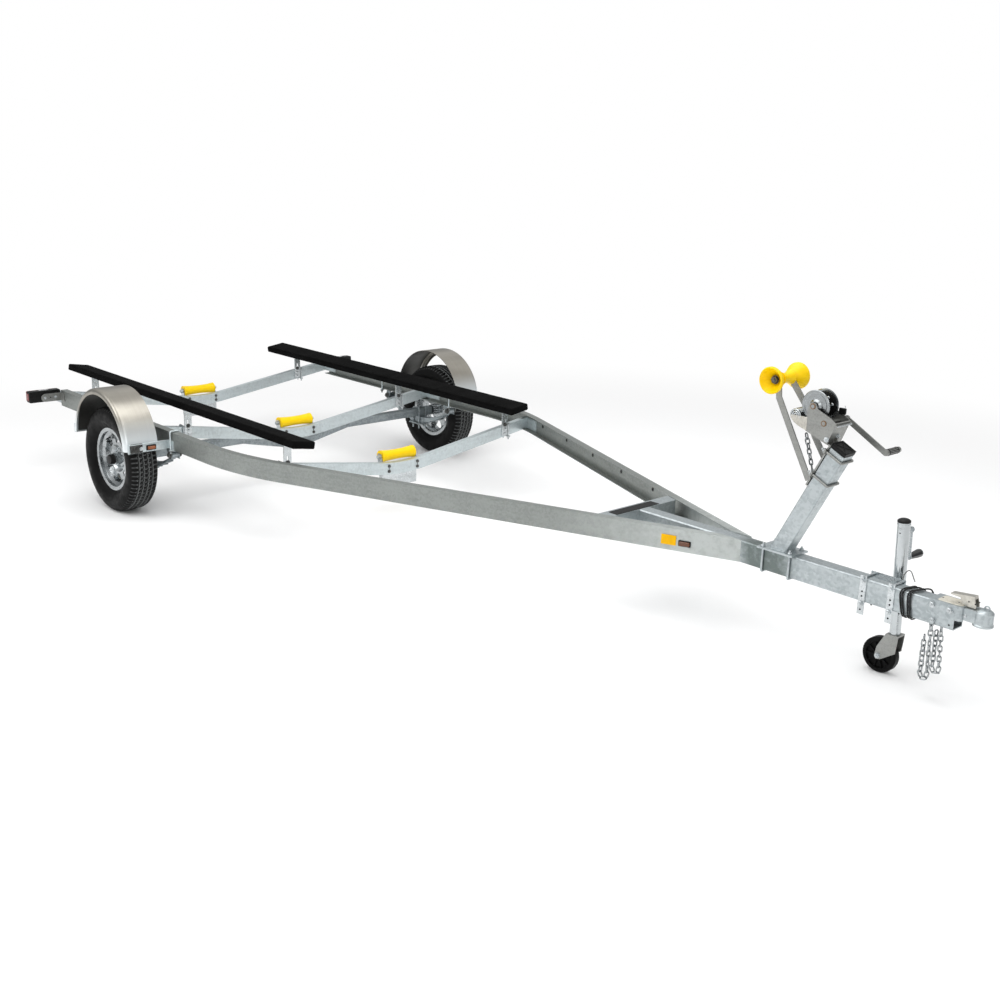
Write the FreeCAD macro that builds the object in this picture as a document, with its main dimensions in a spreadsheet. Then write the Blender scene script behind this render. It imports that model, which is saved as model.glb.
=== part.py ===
import FreeCAD, Part
import Sketcher
import math
import os

"""Galvanised bunk trailer for a small boat, standing parked on its nose jack.

Every piece is drawn in the level frame: X forward to the coupler, Y to the left,
Z up from the ground under the wheels, X = 0 at the axle. Each finished piece then
gets the parked placement, which tips the nose down until the jack's wheel touches
the ground, and puts the origin at the centre of the hitch-ball socket.
"""

DRIVING_SIZES = {
    # How the trailer stands
    "parked_tilt": 0.97,
    "seat_gap": 0.3,
    "pin_play": 0.1,
    # Side rails, folded channels with the web outward
    "rail_half_width": 1055,
    "rail_top": 504,
    "rail_height": 102,
    "rail_flange": 44,
    "rail_wall": 4.2,
    "rail_tail": -1110,
    "rail_bend_start": 708,
    "rail_bend_radius": 1574,
    "rail_bend_angle": 21.82,
    "wire_hole_radius": 8,
    "wire_hole_first": 1340,
    "wire_hole_pitch": 337,
    "wire_hole_drop": 39,
    # Tongue and the member across its rear end
    "tongue_width": 76,
    "tongue_height": 100,
    "tongue_wall": 4.8,
    "tongue_top": 500,
    "tongue_front": 4562,
    "tube_corner": 8,
    "cross_member_back": 666.4,
    "cross_member_depth": 75,
    "tread_width": 55,
    "tread_near": -190,
    "tread_length": 300,
    "tread_thick": 2,
    # V-shaped cross beams, folded channels with the web forward
    "beam_front_face": 1124,
    "beam_middle_face": 61,
    "beam_rear_face": -1159,
    "beam_low": 306.6,
    "beam_rise_angle": 8.53,
    "beam_bend_half": 180,
    "beam_height": 68,
    "beam_depth": 35,
    "beam_wall": 4,
    "tab_length": 136,
    "tab_thick": 4,
    # Keel rollers and their brackets
    "keel_back": 65,
    "keel_height": 372,
    "keel_half_length": 118,
    "keel_end_radius": 36,
    "keel_waist": 7,
    "keel_bolt_radius": 6,
    "keel_bolt_head": 10,
    "keel_bracket_foot": 192,
    "keel_bracket_top": 330,
    "keel_bracket_thick": 5,
    "axle_clearance": 8,
    "keel_ear_play": 2.5,
    "keel_ear_half": 17,
    # Carpeted bunks and the angles that carry them
    "bunk_rear": -1434,
    "bunk_length": 2705,
    "bunk_centre": 780,
    "bunk_top": 597,
    "bunk_width": 144,
    "bunk_thick": 42,
    "bunk_tilt": 8.5,
    "bunk_round": 9,
    "bracket_shift": 15,
    "bracket_width": 48,
    "bracket_thick": 5,
    "bracket_flange": 44,
    "bracket_foot": 26,
    "bracket_slot": 9,
    "clamp_rod": 5,
    # Axle, springs and what holds them
    "axle_square": 50.8,
    "axle_overhang": 70,
    "axle_straight_from": 400,
    "axle_drop": 86,
    "spindle_radius": 17,
    "spring_inset": 22,
    "spring_width": 44,
    "spring_eye_reach": 330,
    "spring_rise": 88,
    "leaf_thick": 7.8,
    "leaf_count": 5,
    "spring_seat_thick": 7,
    "eye_radius": 16,
    "eye_bolt_radius": 8,
    "hanger_thick": 5,
    "hanger_length": 78,
    "tie_plate_length": 118,
    "tie_plate_width": 84,
    "tie_plate_thick": 8,
    "axle_bolt_radius": 5.5,
    # Wheels
    "wheel_radius": 306,
    "wheel_offset": 145,
    "tyre_width": 176,
    "rim_radius": 165,
    "rim_flange_radius": 183,
    "rim_half_width": 57,
    "rim_wall": 3.5,
    "spoke_count": 8,
    "window_inner": 92,
    "window_outer": 146,
    "hub_radius": 36,
    "cap_radius": 27,
    # Fenders and their arms
    "fender_radius": 330,
    "fender_centre_x": -23,
    "fender_centre_z": 390,
    "fender_end_z": 414,
    "fender_gap": 65,
    "fender_width": 198,
    "fender_thick": 3,
    "fender_lip": 34,
    "fender_round": 24,
    "arm_thick": 4,
    "arm_bottom": 405,
    "arm_top": 457,
    "arm_lip": 14,
    "arm_setback": 12,
    "arm_foot": 60,
    "arm_clamp": 39.5,
    "arm_strap_width": 13,
    # Lamps and markers
    "lamp_width": 205,
    "lamp_height": 73,
    "lamp_depth": 66,
    "lamp_bottom": 437,
    "lamp_plate_reach": 130,
    "lamp_plate_height": 52,
    "lamp_plate_hole": 4,
    "marker_width": 50,
    "marker_height": 28,
    "marker_thick": 12,
    "marker_offset": 86,
    "marker_bottom": 408,
    "rail_marker_bottom": 432,
    "rail_marker_back": 261.4,
    "rail_reflector_back": 341.4,
    "rail_reflector_length": 70,
    "rail_reflector_height": 46,
    # Winch post
    "post_x": 3740,
    "post_lean": 26.3,
    "post_length": 534,
    "post_side": 76,
    "post_wall": 4,
    "cap_thick": 18,
    "base_plate_length": 180,
    "base_plate_width": 120,
    "base_plate_thick": 8,
    # Winch stand and bow roller
    "roller_x": 3669,
    "roller_z": 1240,
    "roller_reach": 104,
    "roller_flange": 57,
    "roller_neck": 24,
    "roller_hub_face": 58,
    "roller_bolt": 8,
    "spool_end": 31,
    "spool_waist": 9,
    "stand_half_width": 38,
    "arm_bar": 6,
    "arm_bar_width": 28,
    "near_elbow_back": 9,
    "near_elbow_drop": 76,
    "near_arm_foot": 178,
    "far_elbow_back": 84,
    "far_elbow_drop": 100,
    "far_knee_back": 148,
    "far_knee_drop": 229,
    "far_arm_foot": 110,
    "backing_thick": 8,
    "backing_drop": 205,
    "shelf_length": 148,
    "shelf_fall": 20,
    # Winch
    "winch_half_width": 53,
    "winch_plate": 3,
    "drum_x": 3853,
    "drum_z": 1158,
    "drum_flange": 65,
    "drum_core": 22,
    "drum_bolt": 4,
    "drum_bolt_circle": 36,
    "drum_half": 30,
    "shaft_x": 3911,
    "shaft_z": 1097,
    "shaft_radius": 8,
    "crank_plane": 112,
    "crank_length": 222,
    "crank_angle": -29,
    "crank_bar": 24,
    "grip_radius": 13,
    "grip_length": 98,
    # Nose jack
    "jack_x": 4247,
    "jack_y": 98,
    "jack_lean": 2.7,
    "jack_top": 731,
    "jack_bottom": 365,
    "jack_radius": 26,
    "jack_wall": 2.6,
    "jack_pivot_z": 450,
    "jack_pivot_radius": 24,
    "jack_plate": 6,
    "jack_hub": 12,
    "jack_guide": 12,
    "inner_radius": 22.5,
    "inner_length": 340,
    "fork_top": 255,
    "fork_thick": 4,
    "caster_trail": 57,
    "caster_radius": 77,
    "caster_width": 42,
    "caster_play": 3,
    "caster_bolt": 6,
    "strap_width": 29,
    "strap_thick": 4,
    "strap_rear": 4164,
    "strap_pitch": 127,
    "strap_bottom": 348,
    "strap_top": 514,
    "strap_bolt": 5,
    "jack_crank_below": 41,
    "jack_crank_drop": 126,
    "jack_crank_plane": 62,
    "jack_grip_length": 86,
    # Coupler
    "coupler_rear": 4454,
    "coupler_wall": 5,
    "coupler_side": 54,
    "coupler_shoulder": 30,
    "coupler_round": 18,
    "neck_half": 29,
    "neck_low": 452,
    "ball_x": 4660,
    "ball_z": 456,
    "ball_socket_radius": 25.9,
    "housing_radius": 36,
    "housing_bottom": 444,
    "housing_dome": 8,
    "socket_height": 26.5,
    "loop_radius": 10,
    "loop_wire": 3,
    "latch_height": 46,
    "latch_length": 106,
    "latch_width": 32,
    "latch_wall": 4,
    # Chains
    "link_length": 34,
    "link_width": 22,
    "link_wire": 5.5,
    "chain_x": 4476,
    "chain_top": 409,
    "chain_drop": 225,
    "chain_bolt": 5,
    "chain_pin": 4,
    "bow_chain_rise": 165,
    "bow_chain_lean": 17.5,
    # Lighting cable
    "cable_radius": 4.5,
    "coil_rear": 4325,
    "coil_length": 104,
    "plug_width": 24,
    "plug_thick": 12,
    "plug_length": 34,
    "plug_top": 478,
    "relief_length": 20,
}

doc = FreeCAD.newDocument("BoatTrailer")
sheet = doc.addObject("Spreadsheet::Sheet", "Sizes")
for row, (alias, value) in enumerate(DRIVING_SIZES.items(), start=1):
    sheet.set(f"A{row}", alias)
    sheet.set(f"B{row}", str(value))
    sheet.setAlias(f"B{row}", alias)
doc.recompute()


class Size:
    """A number together with the sheet formula that gives it."""

    def __init__(self, number, formula):
        self.number = float(number)
        self.formula = formula

    def __add__(self, other):
        other = size(other)
        return Size(self.number + other.number, f"({self.formula} + {other.formula})")

    def __radd__(self, other):
        return size(other) + self

    def __sub__(self, other):
        other = size(other)
        return Size(self.number - other.number, f"({self.formula} - {other.formula})")

    def __rsub__(self, other):
        return size(other) - self

    def __mul__(self, other):
        other = size(other)
        return Size(self.number * other.number, f"({self.formula} * {other.formula})")

    def __rmul__(self, other):
        return size(other) * self

    def __truediv__(self, other):
        other = size(other)
        return Size(self.number / other.number, f"({self.formula} / {other.formula})")

    def __neg__(self):
        return Size(-self.number, f"(0 - {self.formula})")


def size(value):
    """A Size from a Size or a plain number."""
    if isinstance(value, Size):
        return value
    return Size(value, f"({value:.9g})")


def sine(angle):
    angle = size(angle)
    return Size(math.sin(math.radians(angle.number)), f"sin({angle.formula})")


def cosine(angle):
    angle = size(angle)
    return Size(math.cos(math.radians(angle.number)), f"cos({angle.formula})")


def tangent(angle):
    angle = size(angle)
    return Size(math.tan(math.radians(angle.number)), f"tan({angle.formula})")


def arcsine(ratio):
    ratio = size(ratio)
    angle = math.degrees(math.asin(ratio.number))
    return Size(angle, f"(asin({ratio.formula}) / 1 deg)")


def root(value):
    value = size(value)
    return Size(math.sqrt(value.number), f"sqrt({value.formula})")


class Sheet:
    """Reads a driving size by its alias."""

    def __getattr__(self, alias):
        return Size(float(sheet.get(alias)), f"Sizes.{alias}")


S = Sheet()
wheel_centre = S.rail_half_width + S.wheel_offset
axle_half_length = S.rail_half_width + S.axle_overhang
spring_centre = S.rail_half_width - S.spring_inset
fender_inner = S.rail_half_width + S.fender_gap
fender_outer = fender_inner + S.fender_width
arm_outer = fender_outer - S.arm_setback
bracket_centre = S.bunk_centre + S.bracket_shift

# Axis letter: the origin plane square to it, and the sign of that plane's normal
PLANES = {"x": ("YZ_Plane", 1), "y": ("XZ_Plane", -1), "z": ("XY_Plane", 1)}


def bind(item, prop, value):
    """Tie one property of an object to the sheet."""
    value = size(value)
    item.setExpression(prop, value.formula)


def new_body(name):
    """An empty body."""
    return doc.addObject("PartDesign::Body", name)


def new_sketch(body, axis, start, across=0, up=0):
    """A sketch square to an axis, at a distance along it, its origin shifted in its plane."""
    role, sign = PLANES[axis]
    plane = [item for item in body.Origin.OriginFeatures if item.Role == role][0]
    sketch = body.newObject("Sketcher::SketchObject", "Sketch")
    sketch.AttachmentSupport = [(plane, "")]
    sketch.MapMode = "FlatFace"
    bind(sketch, "AttachmentOffset.Base.z", size(start) * sign)
    bind(sketch, "AttachmentOffset.Base.x", across)
    bind(sketch, "AttachmentOffset.Base.y", up)
    return sketch


def place_point(sketch, edge, end, x, y):
    """Hold one end of an edge at sheet distances from the sketch's origin."""
    for kind, value in (("DistanceX", x), ("DistanceY", y)):
        value = size(value)
        index = sketch.addConstraint(
            Sketcher.Constraint(kind, -1, 1, edge, end, value.number)
        )
        bind(sketch, f"Constraints[{index}]", value)


def draw_outline(sketch, corners):
    """A closed outline. A corner is (x, y), or (x, y, rise) where an arc leads to the next.

    The rise is the arc's height over its chord, positive to the left of the way along it.
    """
    count = len(corners)
    first = sketch.GeometryCount
    starts = []
    ends = []
    for number, corner in enumerate(corners):
        following = corners[(number + 1) % count]
        x1, y1 = size(corner[0]), size(corner[1])
        x2, y2 = size(following[0]), size(following[1])
        a = FreeCAD.Vector(x1.number, y1.number, 0)
        b = FreeCAD.Vector(x2.number, y2.number, 0)
        if len(corner) == 2:
            sketch.addGeometry(Part.LineSegment(a, b), False)
            starts.append(1)
            ends.append(2)
            continue
        rise = size(corner[2])
        left = FreeCAD.Vector(a.y - b.y, b.x - a.x, 0).normalize()
        middle = (a + b) * 0.5 + left * rise.number
        sketch.addGeometry(Part.Arc(a, middle, b), False)
        clockwise = rise.number > 0
        starts.append(2 if clockwise else 1)
        ends.append(1 if clockwise else 2)
    for number, corner in enumerate(corners):
        edge = first + number
        following = (number + 1) % count
        sketch.addConstraint(
            Sketcher.Constraint(
                "Coincident", edge, ends[number], first + following, starts[following]
            )
        )
        place_point(sketch, edge, starts[number], corner[0], corner[1])
    for number, corner in enumerate(corners):
        if len(corner) == 2:
            continue
        following = corners[(number + 1) % count]
        run = size(following[0]) - corner[0]
        climb = size(following[1]) - corner[1]
        rise = size(corner[2])
        sign = 1 if rise.number > 0 else -1
        chord_part = (run * run + climb * climb) / 4
        radius = (chord_part + rise * rise) / (rise * 2 * sign)
        index = sketch.addConstraint(
            Sketcher.Constraint("Radius", first + number, radius.number)
        )
        bind(sketch, f"Constraints[{index}]", radius)


def draw_circle(sketch, x, y, radius):
    """A full circle held at sheet distances from the sketch's origin."""
    x, y, radius = size(x), size(y), size(radius)
    centre = FreeCAD.Vector(x.number, y.number, 0)
    circle = Part.Circle(centre, FreeCAD.Vector(0, 0, 1), radius.number)
    edge = sketch.addGeometry(circle, False)
    place_point(sketch, edge, 3, x, y)
    index = sketch.addConstraint(Sketcher.Constraint("Radius", edge, radius.number))
    bind(sketch, f"Constraints[{index}]", radius)


def slab(body, axis, start, thickness, outlines, circles=(), cut=False):
    """A flat piece, or a cut, from start to start + thickness along an axis."""
    sketch = new_sketch(body, axis, start)
    for outline in outlines:
        draw_outline(sketch, outline)
    for circle in circles:
        draw_circle(sketch, *circle)
    feature = body.newObject("PartDesign::Pocket" if cut else "PartDesign::Pad", "Slab")
    feature.Profile = sketch
    bind(feature, "Length", thickness)
    forward = PLANES[axis][1] > 0
    feature.Reversed = forward if cut else not forward
    return feature


def turned(body, x, z, outline, angle=360):
    """A turned piece about a line along Y. The outline is (radius, y)."""
    sketch = new_sketch(body, "z", z, across=x)
    draw_outline(sketch, outline)
    feature = body.newObject("PartDesign::Revolution", "Turned")
    feature.Profile = sketch
    feature.ReferenceAxis = (sketch, ["V_Axis"])
    feature.Angle = angle
    feature.Reversed = angle < 360
    return feature


def spun(body, x, y, outline):
    """A turned piece about an upright line. The outline is (radius, z)."""
    sketch = new_sketch(body, "y", y, across=x)
    draw_outline(sketch, outline)
    feature = body.newObject("PartDesign::Revolution", "Spun")
    feature.Profile = sketch
    feature.ReferenceAxis = (sketch, ["V_Axis"])
    feature.Angle = 360
    return feature


def round_edges(body, radius, wanted):
    """Round the edges of the body's present shape that the test accepts."""
    doc.recompute()
    tip = body.Tip
    names = []
    for number, edge in enumerate(tip.Shape.Edges, start=1):
        if wanted(edge):
            names.append(f"Edge{number}")
    fillet = body.newObject("PartDesign::Fillet", "Round")
    fillet.Base = (tip, names)
    bind(fillet, "Radius", radius)
    return fillet


def runs_along(edge, axis):
    """True for a straight edge that follows one axis."""
    if edge.Curve.TypeId != "Part::GeomLine":
        return False
    direction = edge.tangentAt(edge.FirstParameter)
    return abs(getattr(direction, axis)) > 0.999


def box(x, y, z, length, width, height):
    """A block from its low corner."""
    item = doc.addObject("Part::Box", "Block")
    bind(item, "Placement.Base.x", x)
    bind(item, "Placement.Base.y", y)
    bind(item, "Placement.Base.z", z)
    bind(item, "Length", length)
    bind(item, "Width", width)
    bind(item, "Height", height)
    return item


TURNS = {
    "x": FreeCAD.Rotation(FreeCAD.Vector(0, 1, 0), 90),
    "y": FreeCAD.Rotation(FreeCAD.Vector(1, 0, 0), -90),
    "z": FreeCAD.Rotation(),
}


def rod(axis, x, y, z, radius, length):
    """A round bar from a point towards + along an axis."""
    item = doc.addObject("Part::Cylinder", "Rod")
    item.Placement = FreeCAD.Placement(FreeCAD.Vector(), TURNS[axis])
    bind(item, "Placement.Base.x", x)
    bind(item, "Placement.Base.y", y)
    bind(item, "Placement.Base.z", z)
    bind(item, "Radius", radius)
    bind(item, "Height", length)
    return item


def bent_rod(points, bend, radius):
    """A round bar through points, with an arc of one radius at each corner between."""
    corners = [FreeCAD.Vector(*[size(part).number for part in point]) for point in points]
    bend = size(bend).number
    edges = []
    start = corners[0]
    for before, corner, after in zip(corners, corners[1:], corners[2:]):
        back = (before - corner).normalize()
        ahead = (after - corner).normalize()
        half = back.getAngle(ahead) / 2
        cut = bend / math.tan(half)
        middle = (back + ahead).normalize()
        nearest = corner + middle * (bend / math.sin(half) - bend)
        arc_start = corner + back * cut
        arc_end = corner + ahead * cut
        if (arc_start - start).Length > 1e-6:
            edges.append(Part.makeLine(start, arc_start))
        edges.append(Part.Arc(arc_start, nearest, arc_end).toShape())
        start = arc_end
    edges.append(Part.makeLine(start, corners[-1]))
    path = Part.Wire(edges)
    direction = (corners[1] - corners[0]).normalize()
    ring = Part.Wire(Part.makeCircle(size(radius).number, corners[0], direction))
    item = doc.addObject("Part::Feature", "BentRod")
    item.Shape = path.makePipeShell([ring], True, True)
    return item


def fuse(items):
    """One solid from pieces that meet."""
    item = doc.addObject("Part::MultiFuse", "Fused")
    item.Shapes = items
    item.Refine = False
    return item


def group(items):
    """Like pieces that don't touch, kept together."""
    item = doc.addObject("Part::Compound", "Set")
    item.Links = items
    return item


def cut(base, tools):
    """A piece with others taken out of it."""
    item = doc.addObject("Part::Cut", "Cut")
    item.Base = base
    item.Tool = tools[0] if len(tools) == 1 else group(tools)
    return item


NODES = []


def turn_y(x, z, angle):
    """A point of the side view, turned about the origin."""
    return x * cosine(angle) + z * sine(angle), z * cosine(angle) - x * sine(angle)


def finish(item, label, lean=size(0)):
    """Name a finished piece and stand it as parked, leaning back about the jack's swivel."""
    item.Label = label
    tilt = S.parked_tilt
    angle = tilt - lean
    item.Placement = FreeCAD.Placement(
        FreeCAD.Vector(), FreeCAD.Rotation(FreeCAD.Vector(0, 1, 0), angle.number)
    )
    from_x, from_z = turn_y(S.jack_x, S.jack_pivot_z, angle)
    to_x, to_z = turn_y(S.jack_x - S.ball_x, S.jack_pivot_z - S.ball_z, tilt)
    bind(item, "Placement.Base.x", to_x - from_x)
    bind(item, "Placement.Base.z", to_z - from_z)
    bind(item, "Placement.Rotation.Angle", angle)
    NODES.append(item)


SIDES = {"right": -1, "left": 1}


# Frame: the two side rails

def rail_strip(side, outer, inner, tail, tongue_side):
    """Plan outline of a strip of a rail, between two depths in from its outer face."""
    bend = S.rail_bend_angle
    corners = []
    for depth in (outer, inner):
        radius = S.rail_bend_radius - depth
        straight = S.rail_half_width - depth
        end_x = S.rail_bend_start + radius * sine(bend)
        end_y = straight - radius * (1 - cosine(bend))
        nose_x = end_x + (end_y - tongue_side) / tangent(bend)
        rise = radius * (1 - cosine(bend / 2))
        corners.append((radius, straight, end_x, end_y, nose_x, rise))
    _, straight, end_x, end_y, nose_x, rise = corners[0]
    outline = [
        (tail, straight * side),
        (S.rail_bend_start, straight * side, rise * side),
        (end_x, end_y * side),
        (nose_x, tongue_side * side),
    ]
    _, straight, end_x, end_y, nose_x, rise = corners[1]
    outline += [
        (nose_x, tongue_side * side),
        (end_x, end_y * side, rise * -side),
        (S.rail_bend_start, straight * side),
        (tail, straight * side),
    ]
    return outline


def side_rail(side, holes):
    body = new_body("SideRail")
    bottom = S.rail_top - S.rail_height
    tongue_side = S.tongue_width / 2
    full = rail_strip(side, size(0), S.rail_flange, S.rail_tail, tongue_side)
    slab(body, "z", bottom, S.rail_height, [full])
    hollow = rail_strip(
        side, S.rail_wall, S.rail_flange + 20, S.rail_tail - 20, tongue_side - 8
    )
    slab(body, "z", bottom + S.rail_wall, S.rail_height - S.rail_wall * 2, [hollow],
         cut=True)
    if holes:
        circles = []
        for number in range(5):
            x = S.wire_hole_first + S.wire_hole_pitch * number
            circles.append((x, S.rail_top - S.wire_hole_drop, S.wire_hole_radius))
        slab(body, "y", 100, S.rail_half_width, [], circles, cut=True)
    return body


finish(side_rail(-1, False), "side_rail_right")
finish(side_rail(1, True), "side_rail_left")


# Frame: tongue, the member across its rear end and the step tread on that

def square_tube(body, axis, start, length, across, up, width, height, wall):
    """A square tube along an axis, its section centred across and hanging from its top."""
    outer = [
        (across - width / 2, up - height),
        (across + width / 2, up - height),
        (across + width / 2, up),
        (across - width / 2, up),
    ]
    inner = [
        (across - width / 2 + wall, up - height + wall),
        (across + width / 2 - wall, up - height + wall),
        (across + width / 2 - wall, up - wall),
        (across - width / 2 + wall, up - wall),
    ]
    slab(body, axis, start, length, [outer])
    round_edges(body, S.tube_corner, lambda edge: runs_along(edge, axis))
    slab(body, axis, start, length, [inner], cut=True)


rail_bend_end_x = S.rail_bend_start + S.rail_bend_radius * sine(S.rail_bend_angle)
rail_bend_end_y = S.rail_half_width - S.rail_bend_radius * (1 - cosine(S.rail_bend_angle))
rail_nose_x = rail_bend_end_x + (
    rail_bend_end_y - S.tongue_width / 2
) / tangent(S.rail_bend_angle)
cross_member_rear = rail_nose_x - S.cross_member_back
cross_member_front = cross_member_rear + S.cross_member_depth


def tongue():
    """The tube, with the bolt through it that the safety chains hang on."""
    body = new_body("Tongue")
    square_tube(body, "x", cross_member_front, S.tongue_front - cross_member_front,
                size(0), S.tongue_top, S.tongue_width, S.tongue_height, S.tongue_wall)
    half = S.tongue_width / 2
    head = size(5)
    reach = half + S.link_wire + S.seat_gap * 2
    bolt_z = S.chain_top + S.link_length / 2 - S.link_wire - S.chain_bolt - S.seat_gap * 2
    bolt = rod("y", S.chain_x, -reach - head, bolt_z, S.chain_bolt, (reach + head) * 2)
    near_washer = rod("y", S.chain_x, -reach - head, bolt_z, S.chain_bolt * 2.2, head)
    far_washer = rod("y", S.chain_x, reach, bolt_z, S.chain_bolt * 2.2, head)
    return fuse([body, bolt, near_washer, far_washer])


def rail_flange_y(x):
    """Half width between the rails' inner flange edges, along their straight front part."""
    bend = S.rail_bend_angle
    radius = S.rail_bend_radius - S.rail_flange
    end_x = S.rail_bend_start + radius * sine(bend)
    end_y = S.rail_half_width - S.rail_flange - radius * (1 - cosine(bend))
    return end_y - (x - end_x) * tangent(bend)


def front_cross_member():
    body = new_body("FrontCrossMember")
    rear_y = rail_flange_y(cross_member_rear)
    front_y = rail_flange_y(cross_member_front)
    plan = [
        (cross_member_rear, -rear_y),
        (cross_member_front, -front_y),
        (cross_member_front, front_y),
        (cross_member_rear, rear_y),
    ]
    bottom = S.tongue_top - S.tongue_height
    slab(body, "z", bottom, S.tongue_height, [plan])
    wall = S.tongue_wall
    hollow = [
        (cross_member_rear + wall, bottom + wall),
        (cross_member_front - wall, bottom + wall),
        (cross_member_front - wall, S.tongue_top - wall),
        (cross_member_rear + wall, S.tongue_top - wall),
    ]
    slab(body, "y", -rear_y - 10, rear_y * 2 + 20, [hollow], cut=True)
    return body


finish(tongue(), "tongue")
finish(front_cross_member(), "front_cross_member")
tread = box(cross_member_front - 5 - S.tread_width, S.tread_near, S.tongue_top,
            S.tread_width, S.tread_length, S.tread_thick)
finish(group([tread]), "step_tread")


# Frame: the three V-shaped cross beams

def beam_edge(offset):
    """Bend end point and radius of a line at a height over the beam's centre line."""
    rise = S.beam_rise_angle
    centre_radius = S.beam_bend_half / sine(rise)
    radius = centre_radius - offset
    bend_y = radius * sine(rise)
    bend_z = S.beam_low + centre_radius - radius * cosine(rise)
    return radius, bend_y, bend_z


def beam_line_z(y, offset):
    """Height of such a line where it has reached y on the straight arm."""
    _, bend_y, bend_z = beam_edge(offset)
    return bend_z + (y - bend_y) * tangent(S.beam_rise_angle)


def beam_strip(half_height, reach):
    """V-shaped outline of the given half height, out to the given reach each way."""
    rise = S.beam_rise_angle
    top_radius, top_y, top_z = beam_edge(half_height)
    low_radius, low_y, low_z = beam_edge(-half_height)
    top_arc = top_radius * (1 - cosine(rise))
    low_arc = low_radius * (1 - cosine(rise))
    return [
        (-reach, beam_line_z(reach, -half_height)),
        (-low_y, low_z, -low_arc),
        (low_y, low_z),
        (reach, beam_line_z(reach, -half_height)),
        (reach, beam_line_z(reach, half_height)),
        (top_y, top_z, top_arc),
        (-top_y, top_z),
        (-reach, beam_line_z(reach, half_height)),
    ]


def beam_reach(face, bent):
    """Half width between the insides of the rail webs at a beam's face."""
    straight = S.rail_half_width - S.rail_wall
    if not bent:
        return straight
    radius = S.rail_bend_radius - S.rail_wall
    ahead = face - S.rail_bend_start
    return straight - radius + root(radius * radius - ahead * ahead)


def tab_plan(face, side, bent):
    """Plan of the tab that lies on the inside of a rail's web, ahead of the beam."""
    back = face - S.beam_wall
    outer_depth = S.rail_wall
    inner_depth = S.rail_wall + S.tab_thick
    if not bent:
        outer = (S.rail_half_width - outer_depth) * side
        inner = (S.rail_half_width - inner_depth) * side
        front = face + S.tab_length
        return [(back, inner), (front, inner), (front, outer), (back, outer)]
    corners = []
    for depth in (outer_depth, inner_depth):
        radius = S.rail_bend_radius - depth
        middle_y = S.rail_half_width - S.rail_bend_radius
        first = arcsine((back - S.rail_bend_start) / radius)
        last = first + S.tab_length / radius * (180 / math.pi)
        for angle in (first, last):
            x = S.rail_bend_start + radius * sine(angle)
            y = (middle_y + radius * cosine(angle)) * side
            corners.append((x, y))
        corners[-2] += (radius * (1 - cosine((last - first) / 2)) * side,)
    outer_first, outer_last, inner_first, inner_last = corners
    rise = inner_first[2]
    return [
        outer_first,
        outer_last,
        (inner_last[0], inner_last[1], -rise),
        (inner_first[0], inner_first[1]),
    ]


def cross_beam(face, bent=False):
    body = new_body("CrossBeam")
    reach = beam_reach(face, bent)
    half = S.beam_height / 2
    slab(body, "x", face - S.beam_depth, S.beam_depth, [beam_strip(half, reach)])
    inner = beam_strip(half - S.beam_wall, reach + 20)
    slab(body, "x", face - S.beam_depth - 5, S.beam_depth - S.beam_wall + 5, [inner],
         cut=True)
    tab_middle = beam_line_z(reach, size(0))
    for side in (-1, 1):
        slab(body, "z", tab_middle - half, S.beam_height, [tab_plan(face, side, bent)])
    if bent:
        cope_front_beam(body, face, reach)
    return body


def cope_front_beam(body, face, reach):
    """Notch the lower flange of the front beam where it meets the rails' lower flanges."""
    radius = S.rail_bend_radius - S.rail_flange
    ahead = face - S.rail_bend_start
    edge = S.rail_half_width - S.rail_bend_radius + root(radius * radius - ahead * ahead)
    low = S.rail_top - S.rail_height
    for side in (-1, 1):
        near = (edge - 3) * side
        far = (reach + 30) * side
        notch = [
            (face - S.beam_depth - 5, near), (face + 1, near),
            (face + 1, far), (face - S.beam_depth - 5, far),
        ]
        slab(body, "z", low - 20, S.rail_wall + 20 + S.seat_gap, [notch], cut=True)


BEAM_FACES = {
    "rear": S.beam_rear_face,
    "middle": S.beam_middle_face,
    "front": S.beam_front_face,
}
for place, face in BEAM_FACES.items():
    finish(cross_beam(face, bent=place == "front"), f"cross_beam_{place}")


# Keel rollers, and the brackets behind the beams that hold them

def keel_bracket(face, foot):
    rear = face - S.beam_depth - S.seat_gap
    roller_x = face - S.keel_back
    thick = S.keel_bracket_thick
    ear_inner = S.keel_half_length + S.keel_ear_play
    ear_outer = ear_inner + thick
    body = new_body("KeelBracket")
    plate = [
        (-ear_outer, foot),
        (ear_outer, foot),
        (ear_outer, S.keel_bracket_top),
        (-ear_outer, S.keel_bracket_top),
    ]
    slab(body, "x", rear - thick, thick, [plate])
    ear = [
        (rear, foot),
        (rear, S.keel_bracket_top),
        (roller_x + S.keel_ear_half, S.keel_height + S.keel_ear_half),
        (roller_x - S.keel_ear_half, S.keel_height + S.keel_ear_half),
        (roller_x - S.keel_ear_half, S.keel_height - S.keel_ear_half),
        (rear - 22, foot),
    ]
    slab(body, "y", ear_inner, thick, [ear])
    slab(body, "y", -ear_outer, thick, [ear])
    bolt = rod("y", roller_x, -(ear_outer + 6), S.keel_height, S.keel_bolt_radius,
               ear_outer * 2 + 12)
    near_head = rod("y", roller_x, -(ear_outer + 6), S.keel_height, S.keel_bolt_head, 6)
    far_head = rod("y", roller_x, ear_outer, S.keel_height, S.keel_bolt_head, 6)
    return fuse([body, bolt, near_head, far_head])


def keel_roller(face):
    body = new_body("KeelRoller")
    bore = S.keel_bolt_radius + S.pin_play
    half = S.keel_half_length
    turned(body, face - S.keel_back, S.keel_height, [
        (bore, -half),
        (S.keel_end_radius, -half, S.keel_waist),
        (S.keel_end_radius, half),
        (bore, half),
    ])
    return body


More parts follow.
